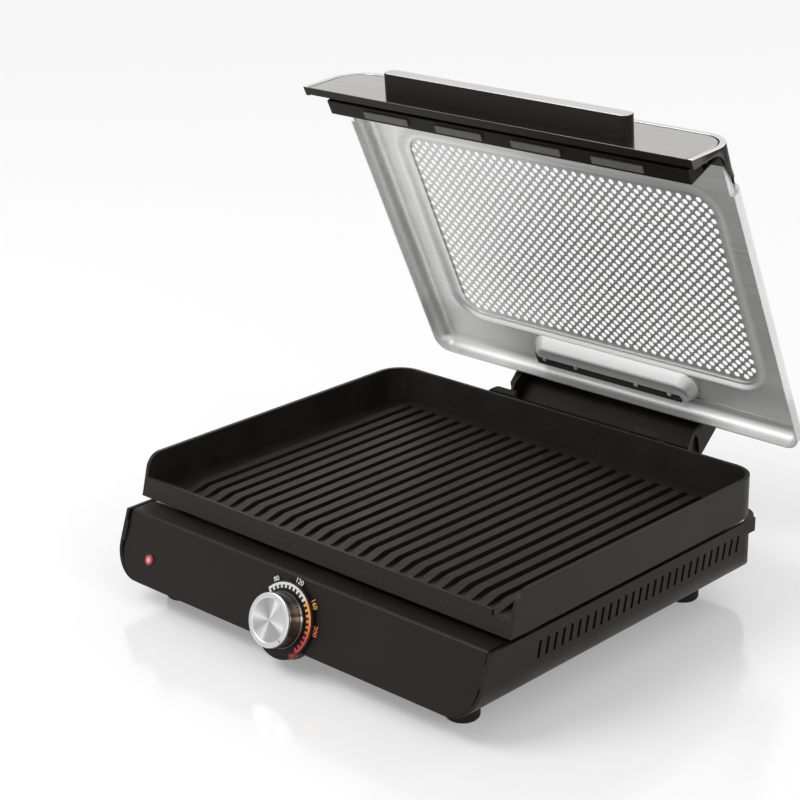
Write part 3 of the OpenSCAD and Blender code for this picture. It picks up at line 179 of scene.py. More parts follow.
def refined(node, body, material, edge, segments=2, sharp=38, reshape=None):
    """a CAD node's shape with its edges rounded, in place of that node; reshape moves a point first"""
    mesh = nodes[node].data.copy()
    shape = bmesh.new()
    shape.from_mesh(mesh)
    bmesh.ops.remove_doubles(shape, verts=shape.verts, dist=2e-6)
    bmesh.ops.dissolve_limit(shape, angle_limit=math.radians(0.4), verts=shape.verts, edges=shape.edges)
    if reshape:
        for point in shape.verts:
            point.co = reshape(point.co)
    shape.to_mesh(mesh)
    shape.free()
    mesh.materials.clear()
    mesh.materials.append(material)
    mesh.shade_smooth()
    mesh.set_sharp_from_angle(angle=math.radians(sharp))
    piece = bpy.data.objects.new(node + "_finished", mesh)
    bpy.context.scene.collection.objects.link(piece)
    if edge:
        bevel = piece.modifiers.new("edge", "BEVEL")
        bevel.width = edge
        bevel.segments = segments
        bevel.limit_method = "ANGLE"
        bevel.angle_limit = math.radians(sharp)
        bevel.use_clamp_overlap = True
    weigh(piece)
    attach(piece, body)
    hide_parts(node)
    return piece


def coat(names, material):
    """a CAD node whose shape is right keeps it and gets this finish"""
    for name in names:
        mesh = nodes[name].data
        mesh.materials.clear()
        mesh.materials.append(material)


base_enamel = dark_shell("base_enamel", (0.0140, 0.0108, 0.0088), 0.42, 1900)
refined("base_shell", "base", base_enamel, 0.0005)

# ---- sloping front -------------------------------------------------------------------------
# One moulded panel leans back from the table edge and folds over into a ledge under the
# cooking plate. It sits between the cheeks of the shell.
panel_plastic = dark_shell("panel_plastic", (0.0125, 0.0095, 0.0075), 0.40, 2300)
refined("front_panel", "base", panel_plastic, 0.0005)

# ---- back cover ----------------------------------------------------------------------------
# The rear wall is a separate moulding that closes the trough. Its rounded ends meet the
# shell's sides, and a rim and a rolled bead stiffen it.
back_plastic = dark_shell("back_plastic", (0.0135, 0.0108, 0.0090), 0.45, 2100)
refined("back_cover", "base", back_plastic, 0.0007, 3)

# ---- feet ----------------------------------------------------------------------------------
# Four moulded feet with rounded soles keep the hot base off the table. Each is held by one
# screw from below.
foot_rubber = dark_shell("foot_rubber", (0.0125, 0.0105, 0.0095), 0.6, 1500)
for corner in ("front_left", "front_right", "back_left", "back_right"):
    refined("foot_" + corner, "base", foot_rubber, 0.0006)

# ---- floor hatch and plated hardware -------------------------------------------------------
# A thin steel cover closes the hatch. Screws, clips and pins are zinc-plated.


def brushed(name, colour, gloss, grain, stretch, depth=0.00002, metallic=1.0, painted_shade=None):
    """bare metal with fine lines along the direction in which stretch is small; the last argument,
    where given, is a mask of painted shade: 0 where the colour is darkest, 1 where it is left"""
    material, start, surface = finish(name, Metallic=metallic, Roughness=gloss)
    lines = start.noise(grain, 4, stretch)
    cloud = start.noise(14)
    low = tuple(c * 0.90 for c in colour)
    high = tuple(min(1, c * 1.08) for c in colour)
    tone = (lines * 0.6 + cloud * 0.4).spread(0.3, 0.7).blend(low, high)
    # painted shade: where the mask is low, the colour is darkened towards this share of itself
    if painted_shade:
        shade_share = 0.54
        tone = painted_shade(start).blend(tuple(c * shade_share for c in colour), tone)
    feed(tone, surface, "Base Color")
    feed(lines.spread(0.25, 0.75, gloss - 0.05, gloss + 0.07), surface, "Roughness")
    relief(start, surface, lines, depth)
    return material


zinc = brushed("zinc", (0.62, 0.62, 0.60), 0.32, 900, (1, 1, 1), 0.00001)
tray_steel = brushed("tray_steel", (0.66, 0.65, 0.63), 0.26, 500, (0.04, 1, 1))
coat(["bottom_cover", "reflector_tray", "element_cradles"], tray_steel)
coat(["cover_screws", "foot_screws", "tray_screws", "thermostat_bracket", "thermostat_screws",
      "tower_screws", "hinge_pins", "pin_clips", "probe_spring", "thermostat_shaft"], zinc)

# ---- heater --------------------------------------------------------------------------------
# A bent tube heater with a dull oxidised sheath lies in the bright tray, on steel cradles.
# Its ends drop through ceramic bushes to the wires underneath.
sheath_material, start, surface = finish("heater_sheath", Metallic=0.7, Roughness=0.55)
scale_marks = start.noise(260, 5)
oxide = scale_marks.spread(0.35, 0.65).blend((0.07, 0.063, 0.058), (0.16, 0.135, 0.115))
feed(oxide, surface, "Base Color")
feed(scale_marks.spread(0.3, 0.7, 0.45, 0.7), surface, "Roughness")
coat(["heating_element"], sheath_material)

ceramic_material, start, surface = finish("ceramic", Roughness=0.3, Coat_Weight=0.3)
flecks = start.noise(700, 3)
feed(flecks.spread(0.55, 0.7).blend((0.80, 0.78, 0.72), (0.66, 0.62, 0.55)), surface, "Base Color")
coat(["element_bushes", "terminal_block", "thermal_fuse", "pilot_lamp", "thermostat"], ceramic_material)

sleeve_material, start, surface = finish("glass_fibre_sleeve", Roughness=0.75)
weave = start.noise(1800, 2)
feed(weave.spread(0.35, 0.65).blend((0.62, 0.56, 0.46), (0.78, 0.73, 0.62)), surface, "Base Color")
relief(start, surface, weave, 0.00015)
coat(["inlet_wires", "heater_wires"], sleeve_material)

brass_material = brushed("plated_brass", (0.72, 0.60, 0.36), 0.3, 1200, (1, 1, 0.1))
coat(["temperature_probe"], brass_material)

pad_material, start, surface = finish("plate_pad_rubber", Roughness=0.7)
dust = start.noise(1200, 3)
feed(dust.spread(0.4, 0.7).blend((0.035, 0.034, 0.033), (0.07, 0.068, 0.065)), surface, "Base Color")
coat(["plate_pads"], pad_material)

# ---- supply inlet --------------------------------------------------------------------------
# A moulded three-pin socket at the back takes the detachable lead. It is seated in an
# opening of the back cover.
inlet_plastic = dark_shell("inlet_plastic", (0.0105, 0.0095, 0.0090), 0.5, 1700)
refined("power_inlet", "base", inlet_plastic, 0.0004)

# ---- pilot light ---------------------------------------------------------------------------
# A clear red lens stands just proud of the panel, lit from behind while the heater is on.
lens_material, start, surface = finish("lit_lens", Roughness=0.18, Coat_Weight=0.5,
                                       Emission_Strength=1.6)
lens_low, lens_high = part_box("pilot_lens")
lens_centre = (lens_low + lens_high) / 2
lens_reach = (lens_high.x - lens_low.x) / 2
spot = start.node("TexCoord", None, None, "Object")
spot = start.node("VectorMath", {"operation": "DISTANCE"}, {0: spot, 1: tuple(lens_centre)}, "Value")
glow = spot.spread(0.25 * lens_reach, 0.85 * lens_reach, 1.0, 0.0)
feed(glow.blend((0.06, 0.004, 0.004), (0.95, 0.20, 0.20)), surface, "Emission Color")
feed(glow.blend((0.05, 0.008, 0.008), (0.8, 0.10, 0.10)), surface, "Base Color")
refined("pilot_lens", "base", lens_material, 0.0005, 3)

# ---- dial ----------------------------------------------------------------------------------
# A thin disc behind the knob carries a printed band with a comb of ticks, from white through
# orange to red. The temperatures stand round it.
disc_plastic = dark_shell("disc_plastic", (0.0110, 0.0090, 0.0075), 0.38, 2300)
refined("dial_disc", "base", disc_plastic, 0.0003)

print_ink, start, surface = finish("scale_ink", Roughness=0.45)
clock = start.node("Attribute", {"attribute_name": "clock"}, None, "Fac")
tint = start.node("ValToRGB", {"stops": [
    (0.0, (0.80, 0.80, 0.79)), (0.47, (0.80, 0.80, 0.79)), (0.50, (0.90, 0.45, 0.10)),
    (0.68, (0.85, 0.27, 0.07)), (0.82, (0.72, 0.06, 0.05)), (1.0, (0.70, 0.05, 0.05))]},
    {"Fac": clock.spread(-50, 140)})
wear = start.noise(900, 2).spread(0.3, 0.7, 0.0, 0.12)
feed(wear.blend(tint, (0.3, 0.3, 0.3)), surface, "Base Color")

# the sloping front's own frame: X to the right, Y up the slope, Z out of it
front_slope = math.radians(19)           # how far the front leans back from upright
dial_frame = (Matrix.Translation((0, -0.1771654, 0.0351))
              @ Matrix.Rotation(math.pi / 2 - front_slope, 4, "X"))
disc_top = 0.0025                        # height of the disc's face above the panel
ink_height = 0.00008                     # thickness of the printed ink


def keep(mesh, name, body):
    """links a finished mesh as one piece of a body"""
    piece = bpy.data.objects.new(name, mesh)
    bpy.context.scene.collection.objects.link(piece)
    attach(piece, body)
    return piece


def clocked(mesh, reading=None):
    """stores each point's bearing from twelve o'clock, in degrees"""
    layer = mesh.attributes.new("clock", "FLOAT", "POINT")
    for point, item in zip(mesh.vertices, layer.data):
        item.value = math.degrees(math.atan2(point.co.x, point.co.y)) if reading is None else reading


def plain(maker):
    """the evaluated shape of a maker object as a mesh of its own; the maker is removed"""
    graph = bpy.context.evaluated_depsgraph_get()
    mesh = bpy.data.meshes.new_from_object(maker.evaluated_get(graph))
    bpy.data.objects.remove(maker)
    return mesh


def repeated(name, values, material, build):
    """the mesh of a Geometry Nodes tree; values are its named inputs and build draws it"""
    tree = bpy.data.node_groups.new(name, "GeometryNodeTree")
    for key, value in values.items():
        kind = "NodeSocketInt" if isinstance(value, int) else "NodeSocketFloat"
        tree.interface.new_socket(key, in_out="INPUT", socket_type=kind)
    tree.interface.new_socket("Geometry", in_out="OUTPUT", socket_type="NodeSocketGeometry")
    source = tree.nodes.new("NodeGroupInput")
    sink = tree.nodes.new("NodeGroupOutput")
    given = {key: Wire(tree, source.outputs[key]) for key in values}
    first = Wire(tree)
    shape = first.node("GeometryNodeRealizeInstances", None, {0: build(first, given)})
    shape = first.node("GeometryNodeSetMaterial", None, {0: shape, "Material": material})
    tree.links.new(shape.socket, sink.inputs[0])
    maker = bpy.data.objects.new(name, bpy.data.meshes.new(name))
    bpy.context.scene.collection.objects.link(maker)
    modifier = maker.modifiers.new(name, "NODES")
    modifier.node_group = tree
    for item in tree.interface.items_tree:
        if item.in_out == "INPUT":
            modifier[item.identifier] = values[item.name]
    return plain(maker)


def tick_comb(first, given):
    """short bars side by side along an arc, each pointing at the middle"""
    line = first.node("GeometryNodeMeshLine", None, {"Count": given["Ticks"]})
    index = first.node("GeometryNodeInputIndex")
    bearing = given["First bearing"] + index * given["Step"]
    out = given["Radius"]
    spot = first.node("CombineXYZ", None, {
        0: out * first.math("SINE", bearing), 1: out * first.math("COSINE", bearing), 2: given["Lift"]})
    turn = first.node("CombineXYZ", None, {2: bearing * -1.0})
    placed = first.node("GeometryNodeSetPosition", None, {0: line, "Position": spot})
    size = first.node("CombineXYZ", None, {
        0: given["Tick width"], 1: given["Tick length"], 2: given["Ink"]})
    bar = first.node("GeometryNodeMeshCube", None, {"Size": size})
    return first.node("GeometryNodeInstanceOnPoints", None, {
        "Points": placed, "Instance": bar, "Rotation": turn})


band_first, band_last = -48, 134         # bearings of the printed band's ends, in degrees
band_in, band_out = 0.0244, 0.0262
band_steps = 83
tick_count = 20
tick_radius = band_in - 0.0011           # the ticks' middles; their outer ends touch the band
tick_end_room = 1                        # degrees between the band's ends and the outermost ticks
ticks = repeated("tick_comb", {
    "Ticks": tick_count, "Radius": tick_radius,
    "First bearing": math.radians(band_first + tick_end_room),
    "Step": math.radians((band_last - band_first - 2 * tick_end_room) / (tick_count - 1)),
    "Tick width": 0.0019, "Tick length": 0.0024, "Ink": ink_height, "Lift": disc_top + ink_height / 2},
    print_ink, tick_comb)
clocked(ticks)
ticks.transform(dial_frame)
keep(ticks, "scale_ticks", "base")

band = bmesh.new()
rows = []
for i in range(band_steps + 1):
    turn = math.radians(band_first + (band_last - band_first) * i / band_steps)
    rows.append([band.verts.new((r * math.sin(turn), r * math.cos(turn), z)) for r, z in (
        (band_in, disc_top), (band_in, disc_top + ink_height), (band_out, disc_top + ink_height),
        (band_out, disc_top))])
for near, far in zip(rows, rows[1:]):
    for k in range(3):
        band.faces.new((near[k], near[k + 1], far[k + 1], far[k]))
bmesh.ops.recalc_face_normals(band, faces=band.faces)
band_mesh = bpy.data.meshes.new("scale_band")
band.to_mesh(band_mesh)
band.free()
band_mesh.materials.append(print_ink)
clocked(band_mesh)
band_mesh.transform(dial_frame)
keep(band_mesh, "scale_band", "base")

# temperature, bearing, distance from the axis, height of the surface it is printed on
number_size = 0.0052
number_swell = 0.00006                   # thickens the strokes, for a bolder print
for text, bearing, reach, lift in (
        ("80", -33, 0.0293, 0), ("120", 11, 0.0293, 0), ("160", 52, 0.0291, 0),
        ("200", 89, 0.0288, 0), ("240", 142, 0.0258, disc_top)):
    script = bpy.data.curves.new("number_" + text, "FONT")
    script.body = text
    script.size = number_size
    script.extrude = ink_height
    script.offset = number_swell
    script.align_x = "CENTER"
    script.align_y = "CENTER"
    maker = bpy.data.objects.new(script.name, script)
    bpy.context.scene.collection.objects.link(maker)
    number = plain(maker)
    number.transform(Matrix.Rotation(math.radians(-bearing), 4, "Z")
                     @ Matrix.Translation((0, reach, lift)))
    clocked(number, bearing)
    number.materials.clear()
    number.materials.append(print_ink)
    number.transform(dial_frame)
    keep(number, "scale_" + text, "base")

# ---- knob ----------------------------------------------------------------------------------
# A turned metal knob with a polished side, whose reflections are painted into its colour as
# dark and light bands. Its cap has a raised rim round a spun face, with four bright wedges of
# painted reflection, and a notch in the rim for a pointer, drawn as a dark strip of painted shade.


def bearing_of(start):
    """bearing of a point round the dial's axis, in degrees from the top of the slope, and its
    distances from the axis to the right and up the slope"""
    place = start.node("TexCoord", None, None, "Object")
    place = start.node("VectorMath", {"operation": "SUBTRACT"}, {
        0: place, 1: tuple(dial_frame.translation)})
    across, up = (start.node("VectorMath", {"operation": "DOT_PRODUCT"}, {
        0: place, 1: tuple(dial_frame.col[axis][:3])}, 1) for axis in (0, 1))
    return start.math("ARCTAN2", across, up) * math.degrees(1), across, up


def turned(profile, steps=128):
    """a lathe's work: profile is (radius, height) from the rim's foot in to the middle"""
    work = bmesh.new()
    turns = [math.tau * i / steps for i in range(steps)]
    rings = [[work.verts.new((r * math.sin(turn), r * math.cos(turn), h)) for turn in turns]
             for r, h in profile[:-1]]
    for low_ring, high_ring in zip(rings, rings[1:]):
        for i in range(steps):
            j = (i + 1) % steps
            work.faces.new((low_ring[i], low_ring[j], high_ring[j], high_ring[i]))
    for ring, point in ((rings[0], (0, 0, profile[0][1])), (rings[-1], (0, 0, profile[-1][1]))):
        middle = work.verts.new(point)
        for i in range(steps):
            work.faces.new((ring[i], ring[(i + 1) % steps], middle))
    bmesh.ops.recalc_face_normals(work, faces=work.faces)
    mesh = bpy.data.meshes.new("turned")
    work.to_mesh(mesh)
    work.free()
    return mesh


knob_chrome, start, surface = finish("knob_chrome", Metallic=0.85, Roughness=0.27)
bearing = bearing_of(start)[0]
# painted reflection: dark and light bands by bearing round the axis stand in for what the polished side
# mirrors
painted_reflection_bands = bearing.node("ValToRGB", {"stops": [
    (0.0, (0.10, 0.10, 0.10)), (0.22, (0.30, 0.30, 0.30)), (0.42, (0.09, 0.09, 0.085)),
    (0.60, (0.07, 0.068, 0.06)), (0.655, (0.36, 0.36, 0.34)), (0.68, (0.12, 0.12, 0.11)),
    (0.695, (0.70, 0.70, 0.68)), (0.72, (0.17, 0.17, 0.16)), (0.80, (0.06, 0.06, 0.055)),
    (1.0, (0.10, 0.10, 0.10))]}, {"Fac": bearing.spread(-180, 180)})
feed(painted_reflection_bands, surface, "Base Color")
feed(start.noise(500).spread(0.3, 0.7, 0.24, 0.32), surface, "Roughness")
refined("control_knob", "knob", knob_chrome, 0.0003)

spun_face, start, surface = finish("spun_face", Metallic=1.0, Roughness=0.3)
bearing, across, up = bearing_of(start)
out = start.math("SQRT", across * across + up * up)
# painted reflection: bright and dark wedges by bearing stand in for the light the spun grooves gather;
# the raised rim keeps a plain grey
painted_reflection_wedges = bearing.node("ValToRGB", {"stops": [
    (0.0, (0.40, 0.40, 0.40)), (0.04, (0.74, 0.74, 0.74)), (0.14, (0.36, 0.36, 0.36)),
    (0.20, (0.44, 0.44, 0.44)), (0.25, (0.72, 0.72, 0.72)), (0.33, (0.42, 0.42, 0.43)),
    (0.42, (0.30, 0.30, 0.31)), (0.50, (0.42, 0.42, 0.43)), (0.54, (0.80, 0.80, 0.80)),
    (0.60, (0.48, 0.48, 0.49)), (0.72, (0.54, 0.54, 0.54)), (0.78, (0.78, 0.78, 0.78)),
    (0.83, (0.34, 0.34, 0.34)), (0.94, (0.36, 0.36, 0.36)), (1.0, (0.40, 0.40, 0.40))]},
    {"Fac": bearing.spread(-180, 180)})
grooves = start.node("TexNoise", {"noise_dimensions": "1D"}, {
    "W": out, "Scale": 9000.0, "Detail": 2.0}, 0)
cap_rim_foot = 0.0152                    # radius at which the raised rim meets the spun face
rim_mask = out > cap_rim_foot
feed(rim_mask.blend(painted_reflection_wedges, (0.58, 0.58, 0.58)), surface, "Base Color")
feed(grooves.spread(0.3, 0.7, 0.26, 0.38), surface, "Roughness")
relief(start, surface, grooves, 0.000008)
cap_foot, cap_top = 0.0155, 0.0170       # heights of the cap above the panel
cap = turned([(0.0191, cap_foot), (0.0190, cap_top - 0.0004), (0.0186, cap_top - 0.0001),
              (0.0180, cap_top), (0.0160, cap_top), (0.0153, cap_top - 0.0002),
              (0.0150, cap_top - 0.0006),
              (0.0149, cap_top - 0.0006), (0.0100, cap_top - 0.0008), (0.0, cap_top - 0.0009)])
cap.transform(dial_frame)
cap.materials.append(spun_face)
cap.shade_smooth()
cap.set_sharp_from_angle(angle=math.radians(40))
cap_piece = keep(cap, "knob_cap_spun", "knob")
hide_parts("knob_cap")

# painted shade: the pointer's notch is not cut into the rim; a thin dark strip on the cap stands for
# the shade in it
notch_painted_shade, start, surface = finish("notch_painted_shade", Roughness=0.5)
notch_shade_tone = start.noise(800).spread(0.3, 0.7).blend((0.03, 0.03, 0.03), (0.06, 0.06, 0.06))
feed(notch_shade_tone, surface, "Base Color")
notch_bearing = 128
notch_place = Matrix.Translation((0, 0.0172, cap_top - 0.00002))
notch_size = Matrix.Diagonal((0.0009, 0.0028, 0.00004, 1))
notch = bmesh.new()
bmesh.ops.create_cube(notch, size=1, matrix=Matrix.Rotation(math.radians(-notch_bearing), 4, "Z")
                      @ notch_place @ notch_size)
notch_mesh = bpy.data.meshes.new("knob_notch_shade")
notch.to_mesh(notch_mesh)
notch.free()
notch_mesh.transform(dial_frame)
notch_mesh.materials.append(notch_painted_shade)
keep(notch_mesh, "knob_notch_shade", "knob")

# ---- hinge towers --------------------------------------------------------------------------
# Two moulded towers are screwed to the back cover: a blade in front, a block behind it, and a
# knuckle that holds the pin, with a fibre washer that brakes the lid.
tower_plastic = dark_shell("tower_plastic", (0.0115, 0.0092, 0.0076), 0.42, 2000)
refined("hinge_towers", "base", tower_plastic, 0.0008, 3)
fibre_material, start, surface = finish("friction_fibre", Roughness=0.8)
fibres = start.noise(900, 4)
feed(fibres.spread(0.35, 0.65).blend((0.22, 0.17, 0.10), (0.36, 0.28, 0.17)), surface, "Base Color")
coat(["friction_washers"], fibre_material)

# ---- cooking plate -------------------------------------------------------------------------
# A die-cast plate with rounded ridges, tall side and back walls, a low front lip and a
# pouring spout at the right. It is coated all over with a speckled non-stick finish.
coating, start, surface = finish("non_stick", Roughness=0.42, Specular_IOR_Level=0.2)
cloud = start.noise(30)
specks = start.noise(1500, 1)
speck_mask = specks.spread(0.66, 0.72)
dark_ground = cloud.spread(0.3, 0.7).blend((0.0095, 0.0082, 0.0072), (0.0145, 0.0126, 0.0112))
feed(speck_mask.blend(dark_ground, (0.038, 0.035, 0.032)), surface, "Base Color")
feed(cloud.spread(0.3, 0.7, 0.38, 0.48), surface, "Roughness")
relief(start, surface, start.noise(1100, 2), 0.00008)
refined("cooking_plate", "base", coating, 0.0013, 3)

# ---- lid -----------------------------------------------------------------------------------
# One drawn sheet of stainless steel: rolled edges, a stepped-in front, a soft bevel that
# lifts the screen, and a pressed pocket where the hinge bracket is bolted on. It is drawn
# closed over the plate, then swung open about the pins.
pin = Vector((0, 0.15493, 0.0624))
opening = math.radians(64.75)
plate_low, plate_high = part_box("cooking_plate")
lid_half = plate_high.x
front = plate_low.y                      # stations below are metres behind the plate's front
rim = 0.1011                             # height of the closed lid's rim
top_height = rim + 0.0145
roll = 0.011
wall = 0.0035
back_corner = 0.013
lid_back = front + 0.280
step_y = front + 0.0440
nose_y = front + 0.0196
step_in = 0.0034                         # the stepped-in front is this much narrower at each side
step_drop = 0.0055                       # and this much lower
step_roll = 0.006
sheet_steel = 0.0012
quarter = [math.radians(9 * i) for i in range(11)]
swing = Matrix.Translation(pin) @ Matrix.Rotation(-opening, 4, "X") @ Matrix.Translation(-pin)
lid = bmesh.new()


def row(points):
    return [lid.verts.new(point) for point in points]


def skin(rows, closed=False):
    """faces between neighbouring rows of points"""
    for near, far in zip(rows, rows[1:]):
        for i in range(len(near) if closed else len(near) - 1):
            j = (i + 1) % len(near)
            lid.faces.new((near[i], near[j], far[j], far[i]))


def edge_line(inset, height):
    """a line along the lid's edge, from the left of the step round the back to the right"""
    points = [(inset - lid_half, step_y, height)]
    for centre, first in ((back_corner - lid_half, 180), (lid_half - back_corner, 90)):
        for i in range(13):
            turn = math.radians(first - 7.5 * i)
            points.append((centre + (back_corner - inset) * math.cos(turn),
                           lid_back - back_corner + (back_corner - inset) * math.sin(turn), height))
    return points + [(lid_half - inset, step_y, height)]


def rounded_line(half_x, y_near, y_far, radius, height):
    """a line round a rectangle with rounded corners"""
    points = []
    mid_x, mid_near, mid_far = half_x - radius, y_near + radius, y_far - radius
    for x, y, first in ((mid_x, mid_far, 0), (-mid_x, mid_far, 90), (-mid_x, mid_near, 180),
                        (mid_x, mid_near, 270)):
        for i in range(13):
            turn = math.radians(first + 7.5 * i)
            points.append((x + radius * math.cos(turn), y + radius * math.sin(turn), height))
    return points


edge_rows = [row(edge_line(0, rim))]
edge_rows += [row(edge_line(roll * (1 - math.cos(t)), rim + wall + roll * math.sin(t)))
              for t in quarter]
skin(edge_rows)
left, right = [r[0] for r in edge_rows], [r[-1] for r in edge_rows]
step_top = top_height - step_drop
stepped = [(0, rim)] + [(step_roll * (1 - math.cos(t)), step_top - step_roll * (1 - math.sin(t)))
                        for t in quarter]
lower = []
for y in (step_y, nose_y):
    lower.append([row([(hand * (lid_half - step_in - inset), y, height) for inset, height in stepped])
                  for hand in (-1, 1)])
for outer, first, second in ((left, lower[0][0], lower[1][0]), (right, lower[0][1], lower[1][1])):
    skin([outer, first, second])
lid.faces.new((left[-1], right[-1], lower[0][1][-1], lower[0][0][-1]))
lid.faces.new((lower[0][0][-1], lower[0][1][-1], lower[1][1][-1], lower[1][0][-1]))
lid.faces.new(lower[1][0] + lower[1][1][::-1])

screen_half, screen_near, screen_far, screen_corner = 0.1455, front + 0.0615, front + 0.2425, 0.0195
bevel_run, bevel_back = 0.012, 0.0040    # how far the bevel runs out from the screen, and at the back
bevel_rise = 0.0030                      # how far it lifts the screen over the top
bevel_steps = 12
bevel_foot, bevel_climb = 0.06, 0.88     # shares of the run: flat foot, then climb to the crest
bevel_sway = 0.05                        # how much the climb bows
bevel_round = 0.95                       # how fast the corners widen with the run
bevel_rows = []
for i in range(bevel_steps + 1):
    t = i / bevel_steps
    out = bevel_run * (1 - t)
    climb = min(1, max(0, (t - bevel_foot) / bevel_climb))
    climb -= bevel_sway * math.sin(math.tau * climb)
    bevel_rows.append(row(rounded_line(
        screen_half + out, screen_near - out, screen_far + bevel_back * (1 - t),
        screen_corner + bevel_round * out, top_height + bevel_rise * climb)))
lip = 0.0015                             # the sheet runs on under the screen's edge
bevel_rows.append(row(rounded_line(screen_half - lip, screen_near + lip, screen_far - lip,
                                   screen_corner - lip, top_height + bevel_rise)))
skin(bevel_rows, closed=True)

pocket_middle, pocket_half, pocket_near, pocket_far = 0.005, 0.078, front + 0.2470, front + 0.2705
pocket_depth = 0.0095
pocket_slope, pocket_taper = 0.005, 0.004    # how far its front and its ends lean in over the depth
pocket_rise = 0.0040                     # its floor climbs by this much towards the back
pocket_corner, corner_room = 0.0100, 2.05    # largest corner radius, and the least width in radii
pocket_flare = 0.0006                    # its rounded back edge goes no further out than this
fillet = 0.0016
pocket_rows = []
depths = [(fillet * (1 - math.sin(t)) - fillet, fillet * (1 - math.cos(t))) for t in quarter[::2]]
depths += [(fillet * (1 - math.cos(t)), pocket_depth - fillet * (1 - math.sin(t)))
           for t in quarter[::2]]
for inset, depth in depths:
    share = depth / pocket_depth
    near = pocket_near + inset + pocket_slope * share
    far = pocket_far - max(inset, -pocket_flare)
    corner = min(pocket_corner - inset, (far - near) / corner_room)
    line = rounded_line(pocket_half - inset - pocket_taper * share, near, far, corner,
                        top_height - depth)
    pocket_rows.append(row([(x + pocket_middle, y, z + pocket_rise * share * (y - near) / (far - near))
                            for x, y, z in line]))
skin(pocket_rows, closed=True)
lid.faces.new(pocket_rows[-1])

lid.edges.ensure_lookup_table()
open_top = [e for e in lid.edges if e.is_boundary and e.verts[0] not in bevel_rows[-1]
            and all(abs(v.co.z - top_height) < 1e-7 for v in e.verts)]
bmesh.ops.triangle_fill(lid, use_beauty=True, edges=open_top)
bmesh.ops.recalc_face_normals(lid, faces=lid.faces)
highest = max(lid.faces, key=lambda face: face.calc_area())
if highest.normal.z < 0:
    bmesh.ops.reverse_faces(lid, faces=lid.faces)
lid_mesh = bpy.data.meshes.new("lid_sheet")
lid.to_mesh(lid_mesh)
lid.free()

# painted shade on the lid steel: where it is darkest, and where it gives out
shaded_height, unshaded_height = 0.128, 0.155    # over the table, while the lid is open
shaded_reach, half_shaded_reach = 0.075, 0.115   # to each side of the pocket's middle


def shade_round_pocket(start):
    """painted shade: darkest in the pocket at the lid's foot, half as dark beside it, none from the
    screen upward
    """
    place = start.node("TexCoord", None, None, "Object")
    across = start.node("SeparateXYZ", None, {0: place}, 0)
    height = start.node("SeparateXYZ", None, {0: place}, 2)
    beside = start.math("ABSOLUTE", across - pocket_middle).spread(shaded_reach, half_shaded_reach) * 0.5
    return start.math("MAXIMUM", height.spread(shaded_height, unshaded_height), beside)


# its colour carries painted shade in and around the pocket and low on the open lid
lid_steel = brushed("lid_steel", (0.83, 0.83, 0.825), 0.44, 420, (0.03, 1, 1), 0.000006, metallic=0.72,
                    painted_shade=shade_round_pocket)
lid_mesh.materials.append(lid_steel)
maker = bpy.data.objects.new("lid_sheet", lid_mesh)
bpy.context.scene.collection.objects.link(maker)
gauge = maker.modifiers.new("gauge", "SOLIDIFY")
gauge.thickness = sheet_steel
gauge.offset = -1
lid_mesh = plain(maker)
lid_mesh.transform(swing)
lid_mesh.shade_smooth()
lid_mesh.set_sharp_from_angle(angle=math.radians(40))
lid_piece = keep(lid_mesh, "lid_shell_drawn", "lid")
weigh(lid_piece)
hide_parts("lid_shell")

# ---- perforated screen ---------------------------------------------------------------------
# A thin steel sheet with staggered round holes lets the steam out. Its edge is welded to the
# end of the lid's bevel.


def perforated(first, given):
    """a rounded sheet with two square lattices of holes, one in the gaps of the other"""
    pitch, row_pitch = given["Pitch"], given["Row pitch"]
    field_x, field_y, corner = (given["Field " + k] for k in ("half width", "half depth", "corner"))
    grids = []
    for fewer in (0, 1):
        columns = given["Columns"] - fewer
        rows = given["Rows"] - fewer
        grids.append(first.node("GeometryNodeMeshGrid", None, {
            "Size X": (columns - 1) * pitch, "Size Y": (rows - 1) * row_pitch,
            "Vertices X": columns, "Vertices Y": rows}))
    lattice = first.node("GeometryNodeJoinGeometry", None, {0: grids})
    spot = first.node("GeometryNodeInputPosition")
    spot = first.node("VectorMath", {"operation": "ABSOLUTE"}, {0: spot})
    straight = first.node("CombineXYZ", None, {0: field_x - corner, 1: field_y - corner})
    beyond = first.node("VectorMath", {"operation": "SUBTRACT"}, {0: spot, 1: straight})
    beyond = first.node("VectorMath", {"operation": "MAXIMUM"}, {0: beyond, 1: (0, 0, 0)})
    reach = first.node("VectorMath", {"operation": "LENGTH"}, {0: beyond}, "Value")
    inside = corner > reach
    hole = first.node("GeometryNodeCurvePrimitiveCircle", None, {
        "Resolution": given["Hole sides"], "Radius": given["Hole radius"]})
    holes = first.node("GeometryNodeInstanceOnPoints", None, {
        "Points": lattice, "Selection": inside, "Instance": hole})
    holes = first.node("GeometryNodeRealizeInstances", None, {0: holes})
    edge = first.node("GeometryNodeCurvePrimitiveQuadrilateral", None, {
        "Width": given["Width"], "Height": given["Depth"]})
    edge = first.node("GeometryNodeFilletCurve", {"mode": "POLY"}, {
        "Curve": edge, "Radius": given["Corner"], "Count": 10})
    outline = first.node("GeometryNodeJoinGeometry", None, {0: [edge, holes]})
    face = first.node("GeometryNodeFillCurve", None, {0: outline})
    raised = first.node("GeometryNodeExtrudeMesh", None, {
        "Mesh": face, "Offset": (0, 0, 1), "Offset Scale": given["Thickness"], "Individual": False})
    under = first.node("GeometryNodeFlipFaces", None, {0: face})
    both = first.node("GeometryNodeJoinGeometry", None, {0: [raised, under]})
    return first.node("GeometryNodeMergeByDistance", None, {"Geometry": both, "Distance": 1e-6})


